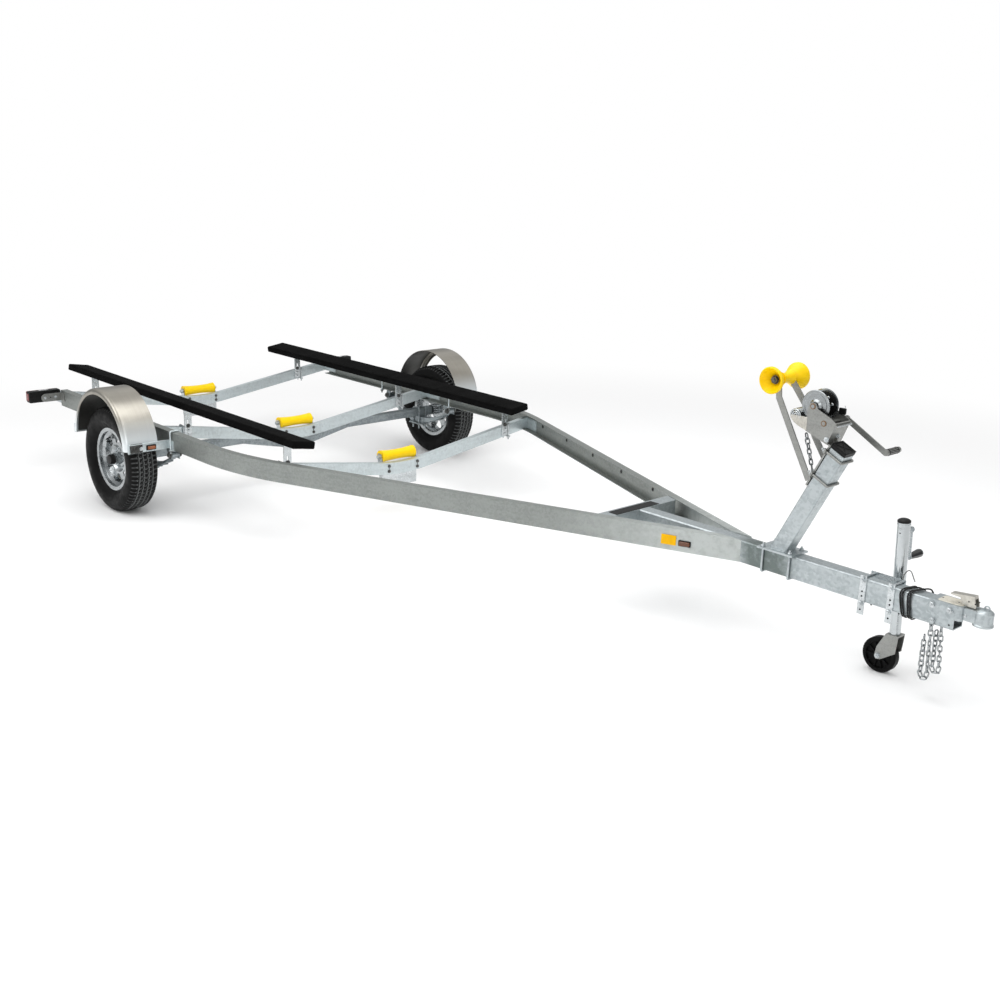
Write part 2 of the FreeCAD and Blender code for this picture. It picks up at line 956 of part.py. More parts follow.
axle_over_bracket = S.wheel_radius + S.axle_square / 2 - S.axle_drop * (
    1 - (S.keel_half_length + S.keel_ear_play + S.keel_bracket_thick) / S.axle_straight_from
)
bracket_feet = {
    "rear": S.keel_bracket_foot,
    "middle": axle_over_bracket + S.axle_clearance,
    "front": S.keel_bracket_foot,
}
keel_brackets = []
for place, face in BEAM_FACES.items():
    keel_brackets.append(keel_bracket(face, bracket_feet[place]))
finish(group(keel_brackets), "keel_roller_brackets")
for place, face in BEAM_FACES.items():
    finish(keel_roller(face), f"keel_roller_{place}")


# Carpeted bunks, and the angles and clamps that carry them on the beams

def bunk_point(side, across, down):
    """A point of the bunk's section, from the middle of its top."""
    tilt = S.bunk_tilt
    y = S.bunk_centre + across * cosine(tilt) + down * sine(tilt)
    z = S.bunk_top + across * sine(tilt) - down * cosine(tilt)
    return y * side, z


def bunk(side):
    body = new_body("Bunk")
    half = S.bunk_width / 2
    section = [
        bunk_point(side, -half, size(0)),
        bunk_point(side, half, size(0)),
        bunk_point(side, half, S.bunk_thick),
        bunk_point(side, -half, S.bunk_thick),
    ]
    slab(body, "x", S.bunk_rear, S.bunk_length, [section])
    round_edges(body, S.bunk_round, lambda edge: edge.Length > 20)
    return body


def bunk_underside(y):
    """Height of the bunk's underside at a distance from the middle of the trailer."""
    tilt = S.bunk_tilt
    low_y, low_z = bunk_point(1, size(0), S.bunk_thick)
    return low_z + (y - low_y) * tangent(tilt)


def bunk_bracket(face, side):
    """A slotted angle on a beam's web under a bunk, with the clamp round the beam."""
    body = new_body("BunkBracket")
    thick = S.bracket_thick
    inner = bracket_centre - S.bracket_width / 2
    outer = bracket_centre + S.bracket_width / 2
    foot = beam_line_z(bracket_centre, size(0)) - S.bracket_foot
    top_inner = bunk_underside(inner) - S.seat_gap
    top_outer = bunk_underside(outer) - S.seat_gap
    plate = [
        (inner * side, foot),
        (outer * side, foot),
        (outer * side, top_outer),
        (inner * side, top_inner),
    ]
    flange = [
        (inner * side, top_inner - thick),
        (outer * side, top_outer - thick),
        (outer * side, top_outer),
        (inner * side, top_inner),
    ]
    slab(body, "x", face, thick, [plate])
    slab(body, "x", face, S.bracket_flange, [flange])
    slot_half = S.bracket_slot / 2
    slot_low = beam_line_z(bracket_centre, S.beam_height / 2) + 14
    middle = bracket_centre * side
    slot = [
        (middle - slot_half, slot_low),
        (middle + slot_half, slot_low),
        (middle + slot_half, slot_low + 30),
        (middle - slot_half, slot_low + 30),
    ]
    slab(body, "x", face - 1, thick + 2, [slot], cut=True)
    return body


def beam_clamp(face, side):
    """A square clamp rod over a beam with a strap under it, just outboard of a bracket."""
    y = bracket_centre + S.bracket_width / 2 + S.clamp_rod + 3
    half = S.beam_height / 2
    lift = S.clamp_rod + S.seat_gap + 1.2
    front = face + S.clamp_rod + S.seat_gap
    back = face - S.beam_depth - S.clamp_rod - S.seat_gap
    top = beam_line_z(y, half) + lift
    strap_top = beam_line_z(y, -half) - 2.2
    low = strap_top - 22
    rods = bent_rod([
        (front, y * side, low),
        (front, y * side, top),
        (back, y * side, top),
        (back, y * side, low),
    ], S.clamp_rod + 2, S.clamp_rod)
    strap = box(back - 9, (y * side) - 11, strap_top - 4, front - back + 18, 22, 4)
    return fuse([rods, strap])


finish(bunk(-1), "bunk_right")
finish(bunk(1), "bunk_left")
brackets = []
clamps = []
for face in BEAM_FACES.values():
    for side in (-1, 1):
        brackets.append(bunk_bracket(face, side))
        clamps.append(beam_clamp(face, side))
finish(group(brackets), "bunk_brackets")
finish(group(clamps), "beam_clamps")


# Axle: a square beam dropped in the middle, with a spindle at each end

def axle():
    body = new_body("AxleBeam")
    half = S.axle_square / 2
    centre = S.wheel_radius
    drop = S.axle_drop
    section = [
        (-axle_half_length, centre - half),
        (-S.axle_straight_from, centre - half),
        (0, centre - half - drop),
        (S.axle_straight_from, centre - half),
        (axle_half_length, centre - half),
        (axle_half_length, centre + half),
        (S.axle_straight_from, centre + half),
        (0, centre + half - drop),
        (-S.axle_straight_from, centre + half),
        (-axle_half_length, centre + half),
    ]
    slab(body, "x", -half, S.axle_square, [section])
    reach = wheel_centre + 44
    spindle = rod("y", 0, -reach, centre, S.spindle_radius, reach - axle_half_length + 20)
    other = rod("y", 0, axle_half_length - 20, centre, S.spindle_radius,
                reach - axle_half_length + 20)
    return fuse([body, spindle, other])


finish(axle(), "axle_beam")


# Leaf springs under the axle

axle_bottom = S.wheel_radius - S.axle_square / 2
spring_top = axle_bottom - S.spring_seat_thick - 1


def leaf_radius():
    """Radius of the main leaf's middle line, from its reach and its rise."""
    reach = S.spring_eye_reach
    return (reach * reach + S.spring_rise * S.spring_rise) / (S.spring_rise * 2)


def leaf_spring(side):
    body = new_body("LeafSpring")
    near = spring_centre - S.spring_width / 2
    start = near if side > 0 else -near - S.spring_width
    thick = S.leaf_thick
    centre_z = spring_top - thick / 2 + leaf_radius()
    count = int(S.leaf_count.number)
    full_half = arcsine(S.spring_eye_reach / leaf_radius())
    for number in range(count):
        half_angle = full_half * ((count - number) / count)
        inner = leaf_radius() - thick / 2 + thick * number
        outer = inner + thick
        across_in = inner * sine(half_angle)
        across_out = outer * sine(half_angle)
        up_in = centre_z - inner * cosine(half_angle)
        up_out = centre_z - outer * cosine(half_angle)
        sag = 1 - cosine(half_angle)
        slab(body, "y", start, S.spring_width, [[
            (-across_out, up_out, -(outer * sag)),
            (across_out, up_out),
            (across_in, up_in, inner * sag),
            (-across_in, up_in),
        ]])
    eye_z = spring_eye_z()
    for reach in (-S.spring_eye_reach, S.spring_eye_reach):
        slab(body, "y", start, S.spring_width, [], [(reach, eye_z, S.eye_radius)])
    bore = S.eye_bolt_radius + S.pin_play
    for reach in (-S.spring_eye_reach, S.spring_eye_reach):
        slab(body, "y", start - 1, S.spring_width + 2, [], [(reach, eye_z, bore)], cut=True)
    return body


def spring_eye_z():
    """Height of the spring's eyes, which sit on top of the main leaf's ends."""
    return spring_top - S.leaf_thick / 2 + S.spring_rise + S.eye_radius - S.leaf_thick / 2


for name, side in SIDES.items():
    finish(leaf_spring(side), f"leaf_spring_{name}")


# Spring hangers under the rails, and the clamps that hold the axle on the springs

def spring_hanger(side, reach, way):
    """Two cheeks welded under a rail round a spring eye, with the eye's bolt."""
    half = S.spring_width / 2 + S.seat_gap
    thick = S.hanger_thick
    rail_bottom = S.rail_top - S.rail_height
    eye_z = spring_eye_z()
    cheek = [
        (reach - S.hanger_length * 0.5 * way, rail_bottom),
        (reach - 12 * way, eye_z - 26),
        (reach + 12 * way, eye_z - 26),
        (reach + S.hanger_length * 0.1 * way, rail_bottom),
    ]
    body = new_body("Hanger")
    middle = spring_centre * side
    slab(body, "y", middle - half - thick, thick, [cheek])
    slab(body, "y", middle + half, thick, [cheek])
    roof_start = reach - 30 if way > 0 else reach - 6
    roof = box(roof_start, middle - half, rail_bottom - 4, 36, half * 2, 4)
    bolt = rod("y", reach, middle - half - thick - 8, eye_z, S.eye_bolt_radius,
               (half + thick + 8) * 2)
    return fuse([body, roof, bolt])


def axle_clamp(side):
    """Seat, tie plate and the two rods over the axle beside a spring."""
    half = S.axle_square / 2
    middle = spring_centre * side
    plate_top = spring_top - S.leaf_thick * S.leaf_count - S.seat_gap
    seat = box(-(half + 4), middle - S.spring_width / 2, axle_bottom - S.spring_seat_thick,
               half * 2 + 8, S.spring_width, S.spring_seat_thick)
    plate = box(S.tie_plate_length / -2, middle - S.tie_plate_width / 2,
                plate_top - S.tie_plate_thick, S.tie_plate_length, S.tie_plate_width,
                S.tie_plate_thick)
    across = half + S.axle_bolt_radius + S.seat_gap
    top = S.wheel_radius + half + S.axle_bolt_radius + S.seat_gap
    low = plate_top - 40
    pieces = [plate]
    for offset in (-1, 1):
        y = middle + (S.spring_width / 2 + S.axle_bolt_radius + S.seat_gap) * offset
        pieces.append(bent_rod([
            (-across, y, low), (-across, y, top), (across, y, top), (across, y, low),
        ], S.axle_bolt_radius + 3, S.axle_bolt_radius))
    return seat, fuse(pieces)


mounts = []
for side in SIDES.values():
    for way in (-1, 1):
        mounts.append(spring_hanger(side, S.spring_eye_reach * way, way))
    mounts += axle_clamp(side)
finish(group(mounts), "spring_mounts")


# Wheels: a tyre on an eight-spoke rim with its hub

def tyre(side):
    body = new_body("Tyre")
    half = S.tyre_width / 2
    outer = S.wheel_radius
    bead = S.rim_radius + 1
    wide = bead + (outer - bead) * 0.5
    centre = wheel_centre * side
    gap = S.seat_gap
    seat = S.rim_half_width - 5 - gap
    turned(body, 0, S.wheel_radius, [
        (bead, centre - seat),
        (S.rim_flange_radius + gap, centre - S.rim_half_width + 1 + gap),
        (S.rim_flange_radius + 4, centre - S.rim_half_width - 3),
        (wide, centre - half),
        (outer - 12, centre - half + 13),
        (outer - 3, centre - half + 26),
        (outer, centre - half + 44),
        (outer, centre + half - 44),
        (outer - 3, centre + half - 26),
        (outer - 12, centre + half - 13),
        (wide, centre + half),
        (S.rim_flange_radius + 4, centre + S.rim_half_width + 3),
        (S.rim_flange_radius + gap, centre + S.rim_half_width - 1 - gap),
        (bead, centre + seat),
        (bead, centre + seat - 12),
        (wide, centre + half - 12),
        (outer - 22, centre + half - 22),
        (outer - 14, centre),
        (outer - 22, centre - half + 22),
        (wide, centre - half + 12),
        (bead, centre - seat + 12),
    ])
    return body


def rim(side):
    body = new_body("Rim")
    centre = wheel_centre * side
    half = S.rim_half_width
    wall = S.rim_wall
    seat = S.rim_radius + 1 - S.seat_gap
    drop = S.rim_radius - 20
    turned(body, 0, S.wheel_radius, [
        (S.rim_flange_radius, centre - half - 2),
        (S.rim_flange_radius, centre - half + 1),
        (seat, centre - half + 5),
        (seat, centre - half + 22),
        (drop, centre - half + 34),
        (drop, centre + half - 50),
        (seat, centre + half - 22),
        (seat, centre + half - 5),
        (S.rim_flange_radius, centre + half - 1),
        (S.rim_flange_radius, centre + half + 2),
        (seat - wall, centre + half),
        (seat - wall, centre + half - 20),
        (drop - wall, centre + half - 48),
        (drop - wall, centre - half + 32),
        (seat - wall, centre - half + 20),
        (seat - wall, centre - half),
    ])
    out = size(side)
    turned(body, 0, S.wheel_radius, [
        (S.hub_radius - 4, centre - out * 6),
        (62, centre - out * 6),
        (84, centre + out * 14),
        (drop - 20, centre + out * 12),
        (drop - wall / 2, centre - out * 2),
        (drop - wall / 2, centre + out * 4),
        (drop - 18, centre + out * 18),
        (80, centre + out * 20),
        (58, centre),
        (S.hub_radius - 4, centre),
    ])
    near = centre - 40
    window = new_sketch(body, "y", near, across=0, up=S.wheel_radius)
    gap = size(180) / S.spoke_count
    inner_half = S.window_inner * tangent(gap * 0.34)
    outer_half = S.window_outer * sine(gap * 0.66)
    draw_outline(window, [
        (-inner_half, S.window_inner),
        (-outer_half, S.window_outer * cosine(gap * 0.66)),
        (outer_half, S.window_outer * cosine(gap * 0.66)),
        (inner_half, S.window_inner),
    ])
    pocket = body.newObject("PartDesign::Pocket", "Window")
    pocket.Profile = window
    pocket.Length = 80
    pocket.Reversed = False
    pocket.Midplane = False
    pattern = body.newObject("PartDesign::PolarPattern", "Windows")
    pattern.Originals = [pocket]
    pattern.Axis = (window, ["N_Axis"])
    pattern.Angle = 360
    bind(pattern, "Occurrences", S.spoke_count)
    body.Tip = pattern
    hub_in = centre - out * (wheel_centre - axle_half_length - 8)
    bore = S.spindle_radius + S.pin_play
    turned(body, 0, S.wheel_radius, [
        (bore, hub_in),
        (S.hub_radius, hub_in),
        (S.hub_radius, centre - out * 6),
        (56, centre - out * 6),
        (56, centre + out * 4),
        (S.hub_radius, centre + out * 8),
        (S.hub_radius - 2, centre + out * 46),
        (S.cap_radius, centre + out * 48),
        (S.cap_radius - 1, centre + out * 66),
        (S.cap_radius - 7, centre + out * 72),
        (0, centre + out * 74),
        (0, centre + out * 45),
        (bore, centre + out * 45),
    ])
    return body


for name, side in SIDES.items():
    finish(tyre(side), f"tyre_{name}")
    finish(rim(side), f"rim_{name}")


# Fenders and the arms that hold them on the rails

def fender(side):
    body = new_body("Fender")
    radius = S.fender_radius
    thick = S.fender_thick
    inner = fender_inner * side
    outer = fender_outer * side
    bend = S.fender_round
    out = size(side)
    rise = bend * (1 - math.cos(math.pi / 4))
    thin_rise = (bend - thick) * (1 - math.cos(math.pi / 4))
    turned(body, S.fender_centre_x, S.fender_centre_z, [
        (radius - thick, inner),
        (radius, inner),
        (radius, outer - out * bend, rise * -side),
        (radius - bend, outer),
        (radius - S.fender_lip, outer),
        (radius - S.fender_lip, outer - out * thick),
        (radius - bend, outer - out * thick, thin_rise * side),
        (radius - thick, outer - out * bend),
    ], angle=180)
    low = S.fender_centre_z - 5
    front = S.fender_centre_x + radius + 5
    rear = S.fender_centre_x - radius - 5
    below = [(rear, low), (front, low), (front, S.fender_end_z), (rear, S.fender_end_z)]
    slab(body, "y", -fender_outer - 5, (fender_outer + 5) * 2, [below], cut=True)
    return body


fender_end_rise = S.fender_end_z - S.fender_centre_z
fender_end_reach = root(
    S.fender_radius * S.fender_radius - fender_end_rise * fender_end_rise
) + S.seat_gap


def fender_arm(side, way):
    """A folded plate across a fender's end, bolted to the rail and clamped round it."""
    thick = S.arm_thick
    end = S.fender_centre_x + fender_end_reach * way
    face = end if way > 0 else end - thick
    lip = end if way > 0 else end - S.arm_lip
    start = S.rail_half_width + S.seat_gap
    inner = start if side > 0 else -arm_outer
    length = arm_outer - start
    plate = box(face, inner, S.arm_bottom, thick, length, S.arm_top - S.arm_bottom)
    flange = box(lip, inner, S.arm_top - thick, S.arm_lip, length, thick)
    foot_y = start if side > 0 else -start - thick
    foot = box(end if way > 0 else end - S.arm_foot, foot_y, S.arm_bottom, S.arm_foot,
               thick, S.arm_top - S.arm_bottom)
    ear_y = arm_outer - thick if side > 0 else -arm_outer
    ear = box(lip, ear_y, S.arm_bottom, S.arm_lip, thick, S.arm_top - S.arm_bottom)
    clamp_x = end + S.arm_clamp * way
    rod_out = S.rail_half_width + S.clamp_rod + S.seat_gap + thick
    rod_in = S.rail_half_width - S.rail_flange - S.clamp_rod - S.seat_gap
    top = S.rail_top + S.clamp_rod + S.seat_gap
    low = S.rail_top - S.rail_height - 18
    rods = bent_rod([
        (clamp_x, rod_out * side, low),
        (clamp_x, rod_out * side, top),
        (clamp_x, rod_in * side, top),
        (clamp_x, rod_in * side, low),
    ], S.clamp_rod + 2, S.clamp_rod)
    strap_low = S.rail_top - S.rail_height - S.seat_gap - 5
    strap_in = (rod_in - 9) if side > 0 else -(rod_out + 9)
    strap = box(clamp_x - S.arm_strap_width / 2, strap_in, strap_low, S.arm_strap_width,
                rod_out - rod_in + 18, 5)
    return [fuse([plate, flange, foot, ear]), fuse([rods, strap])]


for name, side in SIDES.items():
    finish(fender(side), f"fender_{name}")
arms = []
for side in SIDES.values():
    for way in (-1, 1):
        arms += fender_arm(side, way)
finish(group(arms), "fender_arms")


# Tail lamps on angle plates at the rails' ends, side markers and reflectors

def tail_lamp(side):
    body = new_body("TailLamp")
    front = S.rail_tail - S.arm_thick - S.seat_gap
    inner = S.rail_half_width * side
    outer = (S.rail_half_width + S.lamp_width) * side
    top = S.lamp_bottom + S.lamp_height
    slab(body, "x", front - S.lamp_depth, S.lamp_depth, [[
        (inner, S.lamp_bottom),
        (outer, S.lamp_bottom),
        (outer, top),
        (inner, top),
    ]])
    round_edges(body, 6, lambda edge: True)
    return body


def lamp_plate(side):
    thick = S.arm_thick
    start = S.rail_half_width + S.seat_gap
    reach = start + S.lamp_plate_reach
    foot_y = start if side > 0 else -start - thick
    low = S.lamp_bottom
    high = low + S.lamp_plate_height
    half = S.lamp_plate_height / 2
    round_start = (reach - half) * side
    rise = half * (1 - math.cos(math.pi / 4)) * -side
    plate = new_body("LampPlate")
    slab(plate, "x", S.rail_tail - thick, thick, [[
        (start * side, low), (round_start, low, rise), (reach * side, low + half, rise),
        (round_start, high), (start * side, high),
    ]])
    holes = []
    for number in range(3):
        y = (reach - half - (half + 8) * number) * side
        holes.append((y, low + half, S.lamp_plate_hole))
    slab(plate, "x", S.rail_tail - thick - 1, thick + 2, [], holes, cut=True)
    foot = box(S.rail_tail - thick, foot_y, low, 62, thick, S.lamp_plate_height)
    return fuse([plate, foot])


finish(group([tail_lamp(side) for side in SIDES.values()]), "tail_lamps")
finish(group([lamp_plate(side) for side in SIDES.values()]), "tail_lamp_plates")


def rail_outer_y(x):
    """Half width over the rails' outer faces, along their straight front part."""
    return rail_bend_end_y - (x - rail_bend_end_x) * tangent(S.rail_bend_angle)


def rail_badge(side, x, length, bottom, height, thick):
    """A flat piece on the outer face of a rail's straight front part."""
    bend = S.rail_bend_angle
    gap = S.seat_gap
    front = x + length
    points = []
    for at, depth in ((x, gap), (front, gap), (front, gap + thick), (x, gap + thick)):
        points.append((at + sine(bend) * depth,
                       (rail_outer_y(at) + cosine(bend) * depth) * side))
    body = new_body("Badge")
    slab(body, "z", bottom, height, [points])
    return body


markers = []
for side in SIDES.values():
    marker_x = S.fender_centre_x + fender_end_reach + S.seat_gap + S.arm_thick
    marker_inner = S.rail_half_width + S.marker_offset
    marker_y = marker_inner if side > 0 else -marker_inner - S.marker_width
    markers.append(box(marker_x, marker_y, S.marker_bottom, S.marker_thick,
                       S.marker_width, S.marker_height))
    markers.append(rail_badge(side, rail_nose_x - S.rail_marker_back, S.marker_width,
                              S.rail_marker_bottom, 20, S.marker_thick))
    markers.append(rail_badge(side, rail_nose_x - S.rail_reflector_back,
                              S.rail_reflector_length, S.rail_marker_bottom - 5,
                              S.rail_reflector_height, size(3)))
finish(group(markers), "side_markers")


# Winch post: a leaning square tube on a base plate clamped round the tongue

lean = S.post_lean
base_top = S.tongue_top + S.seat_gap + S.base_plate_thick


def along_post(distance, across):
    """A point in side view, from the foot of the post's middle line."""
    x = S.post_x + distance * sine(lean) + across * cosine(lean)
    z = base_top + distance * cosine(lean) - across * sine(lean)
    return x, z


def post_side_view(half, foot_z):
    foot = foot_z - base_top
    top_front = along_post(S.post_length, half)
    top_rear = along_post(S.post_length, -half)
    shift = foot * tangent(lean)
    return [
        (S.post_x - half / cosine(lean) + shift, foot_z),
        (S.post_x + half / cosine(lean) + shift, foot_z),
        top_front,
        top_rear,
    ]


def tongue_clamp(x):
    """A square clamp rod under the tongue with its ends up through the base plate."""
    out = S.tongue_width / 2 + S.clamp_rod + S.seat_gap
    low = S.tongue_top - S.tongue_height - S.clamp_rod - S.seat_gap
    top = base_top + 14
    return bent_rod([
        (x, -out, top), (x, -out, low), (x, out, low), (x, out, top),
    ], S.clamp_rod + 3, S.clamp_rod)


def winch_post():
    body = new_body("WinchPost")
    half = S.post_side / 2
    slab(body, "y", -half, S.post_side, [post_side_view(half, base_top)])
    round_edges(body, S.tube_corner,
                lambda edge: edge.Length > 0.9 * S.post_length.number)
    inner = half - S.post_wall
    slab(body, "y", -inner, inner * 2, [post_side_view(inner, base_top)], cut=True)
    plate = box(S.post_x - S.base_plate_length / 2, S.base_plate_width / -2,
                S.tongue_top + S.seat_gap, S.base_plate_length, S.base_plate_width,
                S.base_plate_thick)
    clamp_half = S.base_plate_length / 2 - 22
    return fuse([body, plate, tongue_clamp(S.post_x - clamp_half),
                 tongue_clamp(S.post_x + clamp_half)])


def post_cap():
    body = new_body("PostCap")
    half = S.post_side / 2
    low = S.post_length + S.seat_gap
    high = low + S.cap_thick
    view = [
        along_post(low, -half), along_post(low, half),
        along_post(high, half), along_post(high, -half),
    ]
    slab(body, "y", -half, S.post_side, [view])
    round_edges(body, 4, lambda edge: True)
    return body


finish(winch_post(), "winch_post")
finish(post_cap(), "post_cap")


# Winch stand: a backing plate on the post, a shelf for the winch and two roller arms

def bar_strip(points, half):
    """Outline of a flat bar of a width along a line of points in side view."""
    ahead = []
    behind = []
    last = len(points) - 1
    for number, (x, z) in enumerate(points):
        before = points[max(number - 1, 0)]
        after = points[min(number + 1, last)]
        run = size(after[0]) - before[0]
        climb = size(after[1]) - before[1]
        length = root(run * run + climb * climb)
        ahead.append((size(x) - climb / length * half, size(z) + run / length * half))
        behind.append((size(x) + climb / length * half, size(z) - run / length * half))
    return ahead + behind[::-1]


def bow_chain_foot():
    """Middle of the bow chain's lowest link, in side view."""
    return along_post(S.post_length - 160, -(S.post_side / 2 + S.backing_thick + 17))


def chain_lug(rear_face):
    """Two ears on the backing plate with a pin through the bow chain's lowest link."""
    foot_x, foot_z = bow_chain_foot()
    down = S.link_length / 2 - S.link_wire - S.chain_pin
    pin_x = foot_x + down * sine(S.bow_chain_lean)
    pin_z = foot_z - down * cosine(S.bow_chain_lean)
    body = new_body("ChainLug")
    middle = S.post_length - 160
    view = [
        along_post(middle - 22, rear_face), along_post(middle + 6, rear_face),
        (pin_x - 6, pin_z + 8), (pin_x - 8, pin_z - 4),
    ]
    inner = S.link_wire / 2 + 1
    slab(body, "y", inner, 4, [view])
    slab(body, "y", -inner - 4, 4, [view])
    pin = rod("y", pin_x, -inner - 4, pin_z, S.chain_pin, (inner + 4) * 2)
    return fuse([body, pin])


def winch_stand():
    rear = -(S.post_side / 2 + S.seat_gap)
    thick = S.backing_thick
    top = S.post_length + 6
    low = S.post_length - S.backing_drop
    plate_view = [
        along_post(low, rear - thick), along_post(low, rear),
        along_post(top, rear), along_post(top, rear - thick),
    ]
    corner = along_post(top, rear)
    fall = S.shelf_fall
    back_x = corner[0] - S.shelf_length * cosine(fall)
    back_z = corner[1] + S.shelf_length * sine(fall)
    shelf_view = [
        corner,
        (back_x, back_z),
        (back_x - thick * 0.7 * sine(fall), back_z - thick * 0.7 * cosine(fall)),
        (corner[0] - thick * 0.7 * sine(fall), corner[1] - thick * 0.7 * cosine(fall)),
    ]
    body = new_body("WinchStand")
    half = S.stand_half_width
    slab(body, "y", -half, half * 2, [plate_view])
    slab(body, "y", -half, half * 2, [shelf_view])
    roller = (S.roller_x, S.roller_z)
    near_line = [
        roller,
        (S.roller_x + S.near_elbow_back, S.roller_z - S.near_elbow_drop),
        along_post(S.post_length - S.near_arm_foot, rear - thick / 2),
    ]
    far_line = [
        roller,
        (S.roller_x + S.far_elbow_back, S.roller_z - S.far_elbow_drop),
        (S.roller_x + S.far_knee_back, S.roller_z - S.far_knee_drop),
        along_post(S.post_length - S.far_arm_foot, rear - thick / 2),
    ]
    bar = S.arm_bar
    width = S.arm_bar_width / 2
    slab(body, "y", -half - bar, bar, [bar_strip(near_line, width)])
    slab(body, "y", half, bar, [bar_strip(far_line, width)])
    for side in (-1, 1):
        start = half if side > 0 else -half - bar
        slab(body, "y", start, bar, [], [(S.roller_x, S.roller_z, width)])
    reach = S.roller_hub_face + S.seat_gap + 8
    bolt = rod("y", S.roller_x, -reach, S.roller_z, S.roller_bolt, reach * 2)
    near_head = rod("y", S.roller_x, -reach, S.roller_z, S.roller_bolt + 4, 8)
    far_head = rod("y", S.roller_x, reach - 8, S.roller_z, S.roller_bolt + 4, 8)
    pieces = [body, bolt, near_head, far_head, chain_lug(rear - thick + 1)]
    for distance in (S.post_length - 145, S.post_length - 25):
        out = S.post_side / 2 + S.clamp_rod + S.seat_gap
        back = rear - thick - 12
        points = []
        for across, y in ((back, -out), (out, -out), (out, out), (back, out)):
            x, z = along_post(distance, across)
            points.append((x, y, z))
        pieces.append(bent_rod(points, S.clamp_rod + 2, S.clamp_rod))
        bridge = [
            along_post(distance - 10, rear - thick), along_post(distance + 10, rear - thick),
            along_post(distance + 10, rear - 1), along_post(distance - 10, rear - 1),
        ]
        strap = new_body("ClampStrap")
        slab(strap, "y", -(out + 9), (out + 9) * 2, [bridge])
        pieces.append(strap)
    return fuse(pieces)


def bow_roller():
    """A waisted spool between the arms and a flared, hollow bell outside each."""
    bore = S.roller_bolt + S.pin_play
    half = S.stand_half_width - S.seat_gap
    spool = new_body("Spool")
    turned(spool, S.roller_x, S.roller_z, [
        (bore, -half), (S.spool_end, -half, S.spool_waist), (S.spool_end, half),
        (bore, half),
    ])
    pieces = [spool]
    inner = S.stand_half_width + S.arm_bar + S.seat_gap
    for side in (-1, 1):
        bell = new_body("Bell")
        outer = S.roller_reach
        turned(bell, S.roller_x, S.roller_z, [
            (bore, inner * side),
            (S.roller_neck, inner * side, size(-3 * side)),
            (S.roller_flange, (outer - 13) * side),
            (S.roller_flange, (outer - 4) * side),
            (S.roller_flange - 5, outer * side),
            (S.roller_neck - 4, (S.roller_hub_face + 2) * side),
            (S.roller_neck - 6, S.roller_hub_face * side),
            (bore, S.roller_hub_face * side),
        ])
        pieces.append(bell)
    return group(pieces)


finish(winch_stand(), "winch_stand")
finish(bow_roller(), "bow_roller")


# Winch: a folded frame, the bare drum with the bolt for its strap, and the crank

def on_shelf(along, up):
    """A point in side view from the shelf's front corner, along it and square to it."""
    corner = along_post(S.post_length + 6, -(S.post_side / 2 + S.seat_gap))
    fall = S.shelf_fall
    x = corner[0] - along * cosine(fall) + up * sine(fall)
    z = corner[1] + along * sine(fall) + up * cosine(fall)
    return x, z


def winch_frame():
    half = S.winch_half_width
    plate = S.winch_plate
    gap = S.seat_gap
    outline = [
        on_shelf(size(12), gap), on_shelf(size(126), gap), on_shelf(size(146), gap + 62),
        (S.drum_x - 24, S.drum_z - 12), (S.drum_x - 12, S.drum_z + 14),
        (S.drum_x + 12, S.drum_z + 14), (S.drum_x + 24, S.drum_z - 8),
        (S.shaft_x + 30, S.shaft_z + 26), on_shelf(size(10), size(98)),
    ]
    hollow = [
        on_shelf(size(12) + plate, gap + plate), on_shelf(size(180), gap + plate),
        on_shelf(size(180), size(180)), on_shelf(size(12) + plate, size(180)),
    ]
    body = new_body("WinchFrame")
    slab(body, "y", -half, half * 2, [outline])
    slab(body, "y", plate - half, (half - plate) * 2, [hollow], cut=True)
    play = S.shaft_radius + S.pin_play
    slab(body, "y", -half - 1, half * 2 + 2, [], [
        (S.drum_x, S.drum_z, play), (S.shaft_x, S.shaft_z, play),
    ], cut=True)
    notch = [
        on_shelf(size(0), gap + plate + 0.5), on_shelf(size(20), gap + plate + 0.5),
        on_shelf(size(20), size(27)), on_shelf(size(0), size(27)),
    ]
    slab(body, "y", size(-12), size(24), [notch], cut=True)
    lip = [
        on_shelf(size(13), size(89)), on_shelf(size(13), size(92)),
        on_shelf(size(3), size(93)), on_shelf(size(3), size(90)),
    ]
    slab(body, "y", -half, half * 2, [lip])
    return body


def winch_drum():
    body = new_body("WinchDrum")
    half = S.drum_half
    reach = S.winch_half_width + 3
    turned(body, S.drum_x, S.drum_z, [
        (0, -reach), (S.shaft_radius, -reach), (S.shaft_radius, -half - 12),
        (19, -half - 12), (28, -half - 4), (50, -half - 4), (54, -half - 6),
        (S.drum_flange - 2, -half - 6), (S.drum_flange, -half - 4),
        (S.drum_flange, -half - 1), (S.drum_flange - 4, -half),
        (S.drum_core, -half), (S.drum_core, half),
        (S.drum_flange - 4, half), (S.drum_flange, half + 1),
        (S.drum_flange, half + 4), (S.drum_flange - 2, half + 6),
        (54, half + 6), (50, half + 4), (28, half + 4), (19, half + 12),
        (S.shaft_radius, half + 12), (S.shaft_radius, reach), (0, reach),
    ])
    bolt = rod("y", S.drum_x + S.drum_bolt_circle, -half - 3, S.drum_z, S.drum_bolt,
               (half + 3) * 2)
    return fuse([body, bolt])


